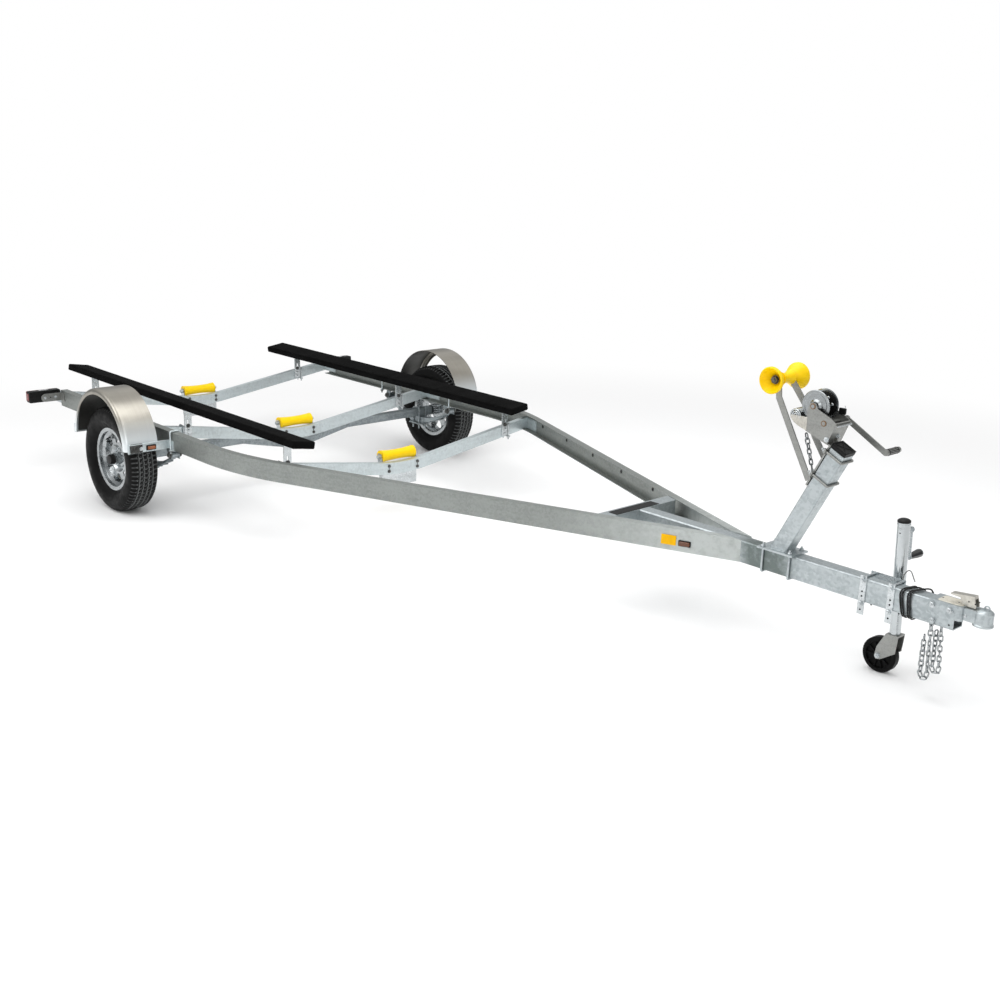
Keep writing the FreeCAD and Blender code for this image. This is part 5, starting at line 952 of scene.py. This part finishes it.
class TRAILER_OT_rail_fittings(Operator):
    """Line the wire holes and fix the side reflectors and markers"""
    bl_idname = "trailer.rail_fittings"
    bl_label = "Rail fittings"

    def execute(self, context):
        c, s = math.cos(RAIL_BEND), math.sin(RAIL_BEND)
        first_hole, pitch, hole_z = 1340, 337, 465
        holes = [(x, rail_outer(x), hole_z) for x in first_hole + pitch * np.arange(5)]
        ring = lathe([(5.2, -6), (10.5, -6), (10.5, -4.3), (7.9, -4.3), (7.9, 0.1), (10.5, 0.1),
                      (10.5, 1.8), (5.2, 1.8)], 24, wrap=True)
        add_piece("rail_grommets", placed_at(ring, holes, (s, c, 0)), "rubber")
        yellow, amber, low_amber, dark = [], [], [], []
        for side in (-1, 1):
            out, along = np.array([s, c * side, 0]), (c, -s * side, 0)
            for x, z, groups in (
                    (3245.2, 450, [(yellow, block(70, 46, 3.0, 3, 0.8))]),
                    (3315.2, 442, [(dark, block(58, 28, 3.0, 4, 0.8)),
                                   (low_amber, block(50, 20, 11.5, 5, 2.5))])):
                place = out * 0.4 + (x, rail_outer(x) * side, z)
                for group, shape in groups:
                    group.append((shape, place, out, along))
        # The fender arms carry a lens at the front and at the rear of each wheel
        for x, way in ((310.7, X), (-356.7, BACK)):
            spot = both((x, 1166, 427))
            dark.append((block(60, 30, 4.0, 5, 1.0), spot, way, Y))
            amber.append((block(46, 18, 11.0, 5, 2.5), spot, way, Y))
        add_piece("side_reflectors", fitted(*yellow), "reflector")
        add_piece("side_marker_lenses", fitted(*amber), "amber",
                  replaces="side_markers")
        add_piece("rail_marker_lenses", fitted(*low_amber), "dark_amber")
        add_piece("side_marker_bases", fitted(*dark), "black")
        return {"FINISHED"}


class TRAILER_OT_running_gear_fittings(Operator):
    """Bolt the springs and the fender arms"""
    bl_idname = "trailer.running_gear_fittings"
    bl_label = "Running gear fittings"

    def execute(self, context):
        spring_y = 1033
        groups, clips, heads = [], [], []
        for side in (-1, 1):
            for out in (-1, 1):
                # Spring eyes, tie plates under the axle, and the fender arms' clamps
                for nut, middle, reach, stations, z, way in (
                        (hex_nut(8.0, 6.0), spring_y, 27.3, (-330, 330), 368.8,
                         (0, out * side, 0)),
                        (hex_nut(5.5, 10.0), spring_y, 27.8, (-31.2, 31.2), 225.3, DOWN),
                        (hex_nut(5.0, 12.0), 1034.5, 29.5, (345.9, -391.9), 396.7, DOWN)):
                    y = (middle + reach * out) * side
                    groups.append((nut, [(x, y, z) for x in stations], way))
            groups.append((domed_head(6.0), (0, spring_y * side, 225.3), DOWN))
        add_piece("running_gear_bolts", fitted(*groups), "dull_zinc")
        for x, way in ((310.6, X), (-356.6, BACK)):
            clips += [(block(74, 52, 6.0, 4, 1.5), both((x, 1256, 433)), way, Y),
                      (washer_ring(8, 17, 11.0), both((x, 1262, 436)), way),
                      (washer_ring(3, 8, 9.0), both((x, 1284, 420), (x, 1240, 448)), way)]
            heads.append((hex_nut(5.0, 3.0), both((x + 6 * way[0], 1228, 428)), way))
        # The blocks on the fender arms are coloured very dark: painted shade
        add_piece("fender_blocks", fitted(*clips), "painted_shade_zinc")
        add_piece("fender_block_bolts", fitted(*heads), "bright_zinc")
        return {"FINISHED"}


class TRAILER_OT_tail_lamps(Operator):
    """Model the tail lamps with their lenses"""
    bl_idname = "trailer.tail_lamps"
    bl_label = "Tail lamps"

    def execute(self, context):
        housings, lenses, windows, nuts = [], [], [], []
        height = 473.5
        for side in (-1, 1):
            middle = 1157.5 * side
            housings.append((block(205, 73, 46, 9, 2.5), (-1114.3, middle, height), BACK, Y))
            lenses += [(block(198, 67, 19.5, 8, 4.0), (-1160.3, middle, height), BACK, Y),
                       (block(34, 44, 2.6, 6, 1.2), (-1142, 1260 * side, height), (0, side, 0))]
            windows.append((block(18, 62, 1.6, 8.8, 0.8), (-1140, middle, 510)))
            nuts.append((hex_nut(4.0, 6.0), [(-1110, y * side, 463) for y in (1159.3, 1091.3)], X))
        add_piece("tail_lamp_housings", fitted(*housings), "black",
                  replaces="tail_lamps")
        add_piece("tail_lamp_lenses", fitted(*lenses), "red")
        add_piece("tail_lamp_windows", fitted(*windows), "clear")
        add_piece("tail_lamp_nuts", fitted(*nuts), "bright_zinc")
        return {"FINISHED"}


class TRAILER_OT_post_fittings(Operator):
    """Bolt and weld the winch post, rib its cap and bolt the bow roller"""
    bl_idname = "trailer.post_fittings"
    bl_label = "Post fittings"

    def execute(self, context):
        c, s = math.cos(POST_LEAN), math.sin(POST_LEAN)
        up, ahead, side = (s, 0, c), np.array([c, 0, -s]), np.array(Y)
        stand_nuts = []
        for distance in (389, 509):
            x, z = on_post(distance, -46.3)
            stand_nuts += [(x, 43.3, z), (x, -43.3, z)]
        add_piece("post_nuts", fitted(
            (hex_nut(5.0, 9.0), both((3672, 43.3, 508.3), (3808, 43.3, 508.3))),
            (hex_nut(5.0, 9.0), stand_nuts, -ahead)), "bright_zinc")
        # The weld's bead swells and shrinks round the foot
        bead_count = 160
        foot = softened(rectangle(84.8, 76) + (3740, 0), 8, 5)
        foot = np.column_stack([foot, np.full(len(foot), 508.8)])
        spread = np.linspace(0, len(foot), bead_count, endpoint=False)
        closed = np.concatenate([foot, foot[:1]])
        path = np.stack([np.interp(spread, np.arange(len(closed)), closed[:, k])
                         for k in range(3)], -1)
        bead = 3.0 + 0.35 * np.sin(np.arange(bead_count) * 2.1)
        add_piece("post_weld", tube(path, bead, 8, closed=True, up=Z), "galvanised")
        x, z = on_post(552.3, 0)
        top = np.array([x, 0, z])
        ribs = [(block(92, 5, 2.2, 1, 0.7), top, up, ahead + side),
                (block(92, 5, 2.2, 1, 0.7), top, up, ahead - side)]
        for way, reach in ((ahead, side), (side, ahead)):
            for sign in (-1, 1):
                ribs.append((block(76, 7, 2.8, 2, 1.0), top + reach * 34.5 * sign, up, way))
        add_piece("post_cap_ribs", fitted(*ribs), "black")
        add_piece("bow_roller_nuts", outward(hex_nut(8.0, 4.0), (3669, 66.3, 1240)), "dull_zinc")
        return {"FINISHED"}


class TRAILER_OT_winch_fittings(Operator):
    """Add the winch's bushings, guide, the drum's painted shade, pawl, bolts and grip"""
    bl_idname = "trailer.winch_fittings"
    bl_label = "Winch fittings"

    def execute(self, context):
        crank_y = 118
        add_piece("winch_bushings", outward(washer_ring(8.2, 12.5, 2.4), (SHAFT_X, 53, SHAFT_Z),
                                            (DRUM_X, 53, DRUM_Z)), "bronze")
        # The rear guide: its side walls, the curled edge between them, and nested ribs
        curl = softened([(3768, 0, 1078), (3750, 0, 1094), (3746, 0, 1116), (3762, 0, 1134),
                         (3782, 0, 1134), (3798, 0, 1124)], 12, 6, closed=False)
        wall = softened([(3751, 1108), (3749, 1096), (3768, 1078), (3786, 1068), (3832, 1052),
                         (3832, 1108)], 6, 5)
        add_piece("winch_guide_sides", placed_at(
            plate(wall, 3.0, 0.8), [(0, -51.5, 0), (0, 54.5, 0)], RIGHT), "yellow_zinc")
        bands = [strip(curl, 96, 3.0)]
        turn = np.linspace(math.radians(-25), math.radians(205), 20)
        for radius in (7, 15, 23):
            for y in (-51.5, 51.5):
                arc = np.stack([3773 + radius * np.cos(turn), 0 * turn + y,
                                1108 + radius * np.sin(turn)], -1)
                bands.append(tube(arc, 3.2, 10))
        add_piece("winch_guide_curl", joined(bands), "bright_zinc")
        # Painted shade: a thin black sleeve and black discs on the flanges' inner faces darken the
        # drum between its flanges
        inner_surface = lathe([(22.6, -29.4), (53, -29.4), (54, -29.9), (22.3, -29.9), (22.3, 29.9),
                        (54, 29.9), (53, 29.4), (22.6, 29.4)], 64, wrap=True)
        add_piece("winch_drum_painted_shade", placed_at(inner_surface, (DRUM_X, 0, DRUM_Z), Y), "black",
                  body="winch_drum")
        rivets = [(x, 29.3, z) for x, z in ((3867, 1187), (3889, 1162), (3839, 1191),
                                            (3818, 1168))]
        add_piece("winch_drum_rivets", placed_at(domed_head(3.2), rivets, RIGHT),
                  "bright_zinc", body="winch_drum")
        add_piece("winch_pawl", placed_at(block(32, 26, 10, 4, 1.5), (3931, 40, 1140), Y),
                  "black")
        # Painted highlight: a bright zinc tube along the frame's top front edge
        add_piece("winch_frame_lip_highlight", tube([(3975.5, y, 1094.5) for y in np.linspace(-51, 51, 9)],
                                          3.0, 12, up=Z), "bright_zinc")
        pin = softened([(3941.6, 46, 1126), (3941, 50, 1138), (3937.5, 50, 1163)], 5, 5,
                       closed=False)
        bolts = fitted((hex_nut(4.5, 5.0), (3947.5, 0, 1046), (0.934, 0, -0.358)),
                       (hex_nut(5.0, 4.0), (3931, -53, 1034), RIGHT))
        add_piece("winch_bolts", joined([bolts, tube(pin, 1.5, 8)]), "bright_zinc")
        add_piece("winch_crank_nut", placed_at(hex_nut(6.0, 3.0), (SHAFT_X, crank_y, SHAFT_Z), Y),
                  "bright_zinc", body="winch_crank")
        sleeve = ribbed_sleeve([(11, 7), (14.0, 7), (15.0, 9), (15.0, 14), (14.2, 16), (14.2, 76),
                                (15.0, 78), (15.0, 83), (14, 85), (11, 85)], 12, 0.9)
        add_piece("winch_crank_sleeve", placed_at(sleeve, (4105.2, crank_y, 989.4), Y), "black",
                  "winch_crank")
        return {"FINISHED"}


class TRAILER_OT_jack_fittings(Operator):
    """Add the jack's rivet, bands, grip, straps, pull pin and wheel ribs"""
    bl_idname = "trailer.jack_fittings"
    bl_label = "Jack fittings"

    def execute(self, context):
        jack_x, jack_y, crank_z, grip_z = JACK_PIVOT[0], 98, 690, 573
        caster_x, caster_z = 4190.0, 150.5
        band = lathe([(26.1, 0), (27.4, 0), (27.4, 4), (26.1, 4)], 48, wrap=True)
        bands = fitted((domed_head(2.8), (jack_x, 72.7, 709), RIGHT),
                       (band, [(jack_x, jack_y, 722), (jack_x, jack_y, 366)]),
                       (hex_nut(6.0), (jack_x, 160, crank_z), Y))
        add_piece("jack_bands", leaned(bands), "chrome", body="jack")
        # A black disc on the tube: painted shade for the crank's hole
        hole = placed_at(disc(3.2), (jack_x, 72.2, crank_z), RIGHT)
        add_piece("jack_tube_hole_shade", leaned(hole), "black", "jack")
        grip = ribbed_sleeve([(8.5, 0), (10.5, 0), (11.5, 3), (13.5, 20), (16.5, 48), (18.3, 70),
                              (18.0, 80), (15.0, 87), (8, 89.5)], 9, 0.45)
        add_piece("jack_grip_sleeve", leaned(placed_at(grip, (jack_x, 162, grip_z), Y)),
                  "gloss_black", "jack")
        ring = placed_at(washer_ring(8.8, 12.5, 3.5), (jack_x, 158.5, grip_z), Y)
        add_piece("jack_grip_ring", leaned(ring), "bright_zinc", body="jack")
        # Ten spokes, a hub ring and a rim ring on each face of the caster wheel
        c, s = ring_of(10)
        spokes = np.stack([c, 0 * c, s], -1)
        ribs, nuts, straps, strap_holes = [], [], [], []
        for side in (-1, 1):
            way = (0, side, 0)
            centre = np.array([caster_x, jack_y + 12.9 * side, caster_z])
            ribs += [(block(37, 4.5, 7.2, 1, 0.7), centre + spokes * 39, way, spokes),
                     (washer_ring(9, 20, 7.6), centre, way),
                     (washer_ring(57, 61, 8.6, 56), centre, way)]
            nuts.append((hex_nut(5.5, 3.0), (caster_x, jack_y + 27.6 * side, caster_z), way))
            for x in (4164, 4291):
                straps.append((hex_nut(5.0, 4.0), [(x, 42.3 * side, z) for z in (494, 394.7)], way))
                # Black discs on the straps: painted shade for their holes
                strap_holes.append((disc(4.0), [(x, 42.3 * side, z) for z in (446, 426, 368)], way))
        add_piece("jack_wheel_ribs", leaned(fitted(*ribs)), "tyre",
                  "caster_wheel")
        add_piece("jack_fork_nuts", leaned(fitted(*nuts)), "bright_zinc", body="caster_fork")
        add_piece("jack_strap_bolts", fitted(*straps), "bright_zinc")
        add_piece("jack_strap_hole_shade", fitted(*strap_holes), "black")
        pin = softened([(4290, 40, 506), (4290, 47, 536), (4292, 72, 548), (4297, 88, 542),
                        (4306, 90, 523), (4318, 90, 501)], 8, 6, closed=False)
        add_piece("jack_pull_pin", tube(pin, 2.1, 10), "dull_zinc")
        return {"FINISHED"}


class TRAILER_OT_coupler_fittings(Operator):
    """Bolt the coupler and lay its top plate"""
    bl_idname = "trailer.coupler_fittings"
    bl_label = "Coupler fittings"

    def execute(self, context):
        add_piece("coupler_bolts", joined([
            outward(hex_nut(6.0, 2.0), (4470, 43.3, 483), (4543.5, 43.3, 480)),
            outward(hex_nut(6.0, 2.0), (4477, 38.0, 417)),
            outward(domed_head(4.0), (4598, 29, 470))]), "bright_zinc")
        top = softened([(4482, -34), (4548, -34), (4584, -27), (4584, 27), (4548, 34), (4482, 34)],
                       10, 6)
        add_piece("coupler_top_plate", placed_at(plate(top, 1.6, 0.6), (0, 0, 505.4)), "cream")
        # Black discs on the coupler: painted shade for its holes
        add_piece("coupler_hole_shade", joined([
            placed_at(disc(3.6), [(4489, 0, 507.0), (4554.5, 0, 507.0)]),
            outward(disc(3.6), (4545, 38.0, 419)),
            outward(disc(3.2), (4600, 16.0, 527), (4627, 16.0, 524))]), "black")
        return {"FINISHED"}


# Lighting cable

# The route: out of the tongue's far side, four turns round it, and down to the connector
CABLE_ROUTE = [
    (4341, 38, 486), (4342, 47, 474), (4343, 48, 452), (4344, 46, 426), (4345, 46, 405),
    (4346, 33, 391), (4348, 2, 389), (4350, -31, 391), (4348, -45, 405), (4341, -43.5, 427),
    (4335, -42.5, 451), (4331, -43, 475), (4332, -45.5, 496), (4337, -32, 508), (4345, 0, 507),
    (4353, 32, 508), (4357, 45.5, 495), (4357, 43, 472), (4356, 42.5, 447), (4355, 43, 421),
    (4355, 46, 404), (4356, 32, 390), (4359, 0, 388.5), (4361, -33, 390.5), (4359, -46, 404),
    (4351, -43.5, 424), (4345, -42.5, 449), (4341.5, -43, 473), (4342.5, -46, 495.5),
    (4348, -33, 509), (4358, 0, 507.5), (4371, 31, 508), (4379, 45, 496), (4381, 43, 473),
    (4380, 42.5, 448), (4378, 43, 423), (4376, 45.5, 405), (4375, 32, 391), (4375, 1, 389.5),
    (4376, -31, 391.5), (4374, -45, 405.5), (4370, -43, 428), (4366, -42.5, 452),
    (4364, -43, 474), (4365, -45.5, 495), (4370, -33, 507.5), (4379, -1, 506.5),
    (4387, 31, 508), (4391, 45.5, 495), (4392, 43, 471), (4391, 42.5, 446), (4390, 43.5, 421),
    (4388, 46, 404), (4387, 33, 390), (4386, 0, 388.5), (4387, -32, 390), (4385, -46, 404),
    (4381, -43.5, 426), (4377, -42.5, 450), (4375, -43.5, 473), (4376, -46, 496),
    (4380, -33, 508.5), (4387, -3, 508), (4395, 24, 508.5), (4403, 40, 508.5),
    (4412, 51, 505), (4417, 54, 495), (4417, 53.6, 481),
]


def curve_length(curve_object):
    """Length of the curve's own line, from a copy of it with no thickness."""
    bare = curve_object.copy()
    bare.data = curve_object.data.copy()
    bare.data.bevel_depth = 0
    bpy.context.scene.collection.objects.link(bare)
    line = bpy.data.meshes.new_from_object(
        bare.evaluated_get(bpy.context.evaluated_depsgraph_get()))
    spots = np.empty(len(line.vertices) * 3)
    line.vertices.foreach_get("co", spots)
    total = float(np.linalg.norm(np.diff(spots.reshape(-1, 3), axis=0), axis=1).sum())
    bpy.data.objects.remove(bare)
    bpy.data.meshes.remove(line)
    return total


class TRAILER_OT_cable(Operator):
    """Wind the lighting cable round the tongue, down to its connector"""
    bl_idname = "trailer.cable"
    bl_label = "Lighting cable"

    def execute(self, context):
        diameter = context.scene.trailer_sizes.cable
        points = stand(CABLE_ROUTE)
        curve = bpy.data.curves.new("lighting_cable", "CURVE")
        curve.dimensions = "3D"
        curve.bevel_depth = diameter / 2
        curve.bevel_resolution = 3
        curve.use_fill_caps = True
        spline = curve.splines.new("NURBS")
        spline.points.add(len(points) - 1)
        for control, place in zip(spline.points, points):
            control.co = (*place, 1.0)
        spline.order_u = 3
        spline.use_endpoint_u = True
        spline.resolution_u = 8
        curve.materials.append(MATERIALS["rubber"])
        cable = bpy.data.objects.new("lighting_cable", curve)
        context.scene.collection.objects.link(cable)
        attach(cable, "frame")
        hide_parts("cable_coil")
        curve_length(cable)
        grommet = lathe([(3.4, 0), (7, 0), (8, 1), (7, 2), (3.4, 2)], 24, wrap=True)
        add_piece("cable_grommet", placed_at(grommet, CABLE_ROUTE[0], Y), "rubber")
        return {"FINISHED"}


# Stage

def stand_at(scene, name, data, place, x, y, z):
    """An object in the scene at a place, with its own axes along three directions."""
    matrix = np.eye(4)
    matrix[:3] = np.column_stack([x, y, z, place])
    thing = bpy.data.objects.new(name, data)
    thing.matrix_world = Matrix(matrix.tolist())
    scene.collection.objects.link(thing)
    return thing


class TRAILER_OT_stage(Operator):
    """Set the camera, the floor and the soft studio light"""
    bl_idname = "trailer.stage"
    bl_label = "Stage"

    def execute(self, context):
        scene = context.scene
        scene.view_settings.view_transform = "Standard"
        camera = bpy.data.cameras.new("photo_camera")
        camera.lens = 44.894
        camera.sensor_width = 36.0
        camera.clip_end = 200.0
        yaw, pitch, roll = (math.radians(v) for v in (137.006, -15.589, 1.203))
        ahead = np.array([math.cos(pitch) * math.cos(yaw), math.cos(pitch) * math.sin(yaw),
                          math.sin(pitch)])
        level_right = unit(np.cross(ahead, Z))
        right = math.cos(roll) * level_right + math.sin(roll) * np.cross(level_right, ahead)
        scene.camera = stand_at(scene, "photo_camera", camera, (1.9969, -4.3865, 1.6865),
                                right, np.cross(right, ahead), -ahead)
        self.lay_floor(scene)
        self.hang_lights(scene)
        return {"FINISHED"}

    def lay_floor(self, scene):
        """A wide pale disc under the wheels; far out it is as bright as the backdrop."""
        middle_x, radius = -2.6, 60.0
        material, tree, shader = new_material("pale_studio_floor", Roughness=0.9,
                                              Specular_IOR_Level=0.1,
                                              Base_Color=linear(0xFAFAFA))
        distance = add_node(tree, "VectorMath", [object_place(tree, shift=(-middle_x, 0, 0))],
                            operation="LENGTH")
        far = add_node(tree, "MapRange", [distance.outputs["Value"], 3.2, 6.5],
                       interpolation_type="SMOOTHSTEP")
        path = add_node(tree, "LightPath")
        seen = path.outputs["Is Camera Ray"]
        for ray in ("Is Glossy Ray", "Is Transmission Ray"):
            seen = add_node(tree, "Math", [seen, path.outputs[ray]], operation="MAXIMUM")
        share = add_node(tree, "Math", [far, seen], operation="MULTIPLY")
        glow = add_node(tree, "Emission", {"Color": (1, 1, 1), "Strength": 1.0})
        feed(tree.nodes["Material Output"],
             {"Surface": add_node(tree, "MixShader", [share, shader, glow])})
        c, s = ring_of(96)
        points = np.stack([radius * c + middle_x, radius * s, 0 * c + CAD_BOX[0][2]], -1)
        mesh = bpy.data.meshes.new("studio_floor")
        mesh.from_pydata(points.tolist(), [], [list(range(len(points)))])
        mesh.materials.append(material)
        stand_at(scene, "studio_floor", mesh, (0, 0, 0), X, Y, Z)

    def hang_lights(self, scene):
        """A white world with a darker band at eye level for the metal, and soft boxes."""
        scene.world = bpy.data.worlds.new("studio_world")
        scene.world.use_nodes = True
        tree = scene.world.node_tree
        tree.nodes.clear()
        way = add_node(tree, "SeparateXYZ", [add_node(tree, "TexCoord").outputs["Generated"]])
        room = add_node(tree, "ValToRGB", [way.outputs["Z"]], [
            (0.0, (0.30, 0.31, 0.32)), (0.25, (0.42, 0.43, 0.44)), (0.6, (1, 1, 1)),
            (1.0, (1, 1, 1))])
        lit = add_node(tree, "Background", {"Color": room, "Strength": 0.85})
        seen = add_node(tree, "Background", {"Color": (1, 1, 1), "Strength": 1.0})
        mix = add_node(tree, "MixShader",
                       [add_node(tree, "LightPath").outputs["Is Camera Ray"], lit, seen])
        add_node(tree, "OutputWorld", {"Surface": mix})
        for name, place, target, size, power in (
                ("overhead_box", (-2.4, -0.6, 4.2), (-2.4, 0.0, 0.0), 5.0, 150.0),
                ("front_box", (2.8, -4.4, 2.8), (-1.6, 0.0, 0.0), 3.0, 60.0),
                ("side_box", (-5.5, -4.6, 2.6), (-3.4, 0.0, 0.0), 2.6, 60.0)):
            light = bpy.data.lights.new(name, "AREA")
            light.shape = "SQUARE"
            light.size = size
            light.energy = power
            z = unit(np.subtract(place, target))
            x = unit(np.cross(Z, z)) if abs(z[2]) < 0.99 else np.array(X, float)
            stand_at(scene, name, light, place, x, np.cross(z, x), z)


OPERATORS = (
    TRAILER_OT_stage,
    TRAILER_OT_finishes,
    TRAILER_OT_cable,
    TRAILER_OT_tyres,
    TRAILER_OT_wheel_fittings,
    TRAILER_OT_bunks,
    TRAILER_OT_chains,
    TRAILER_OT_beam_fittings,
    TRAILER_OT_rail_fittings,
    TRAILER_OT_running_gear_fittings,
    TRAILER_OT_tail_lamps,
    TRAILER_OT_post_fittings,
    TRAILER_OT_winch_fittings,
    TRAILER_OT_jack_fittings,
    TRAILER_OT_coupler_fittings,
)


class TRAILER_PT_panel(Panel):
    bl_label = "Boat trailer"
    bl_idname = "TRAILER_PT_panel"
    bl_space_type = "VIEW_3D"
    bl_region_type = "UI"
    bl_category = "Trailer"

    def draw(self, context):
        for operator in OPERATORS:
            self.layout.operator(operator.bl_idname)
        for settings in (context.scene.trailer_sizes, context.scene.trailer_colours):
            for name in settings.__annotations__:
                self.layout.prop(settings, name)


CLASSES = (TrailerColours, TrailerSizes) + OPERATORS + (TRAILER_PT_panel,)


def register():
    for item in CLASSES:
        bpy.utils.register_class(item)
    bpy.types.Scene.trailer_colours = PointerProperty(type=TrailerColours)
    bpy.types.Scene.trailer_sizes = PointerProperty(type=TrailerSizes)


def unregister():
    del bpy.types.Scene.trailer_sizes
    del bpy.types.Scene.trailer_colours
    for item in reversed(CLASSES):
        bpy.utils.unregister_class(item)


def main():
    register()
    for operator in OPERATORS:
        group, name = operator.bl_idname.split(".")
        getattr(getattr(bpy.ops, group), name)()


if __name__ == "__main__":
    main()
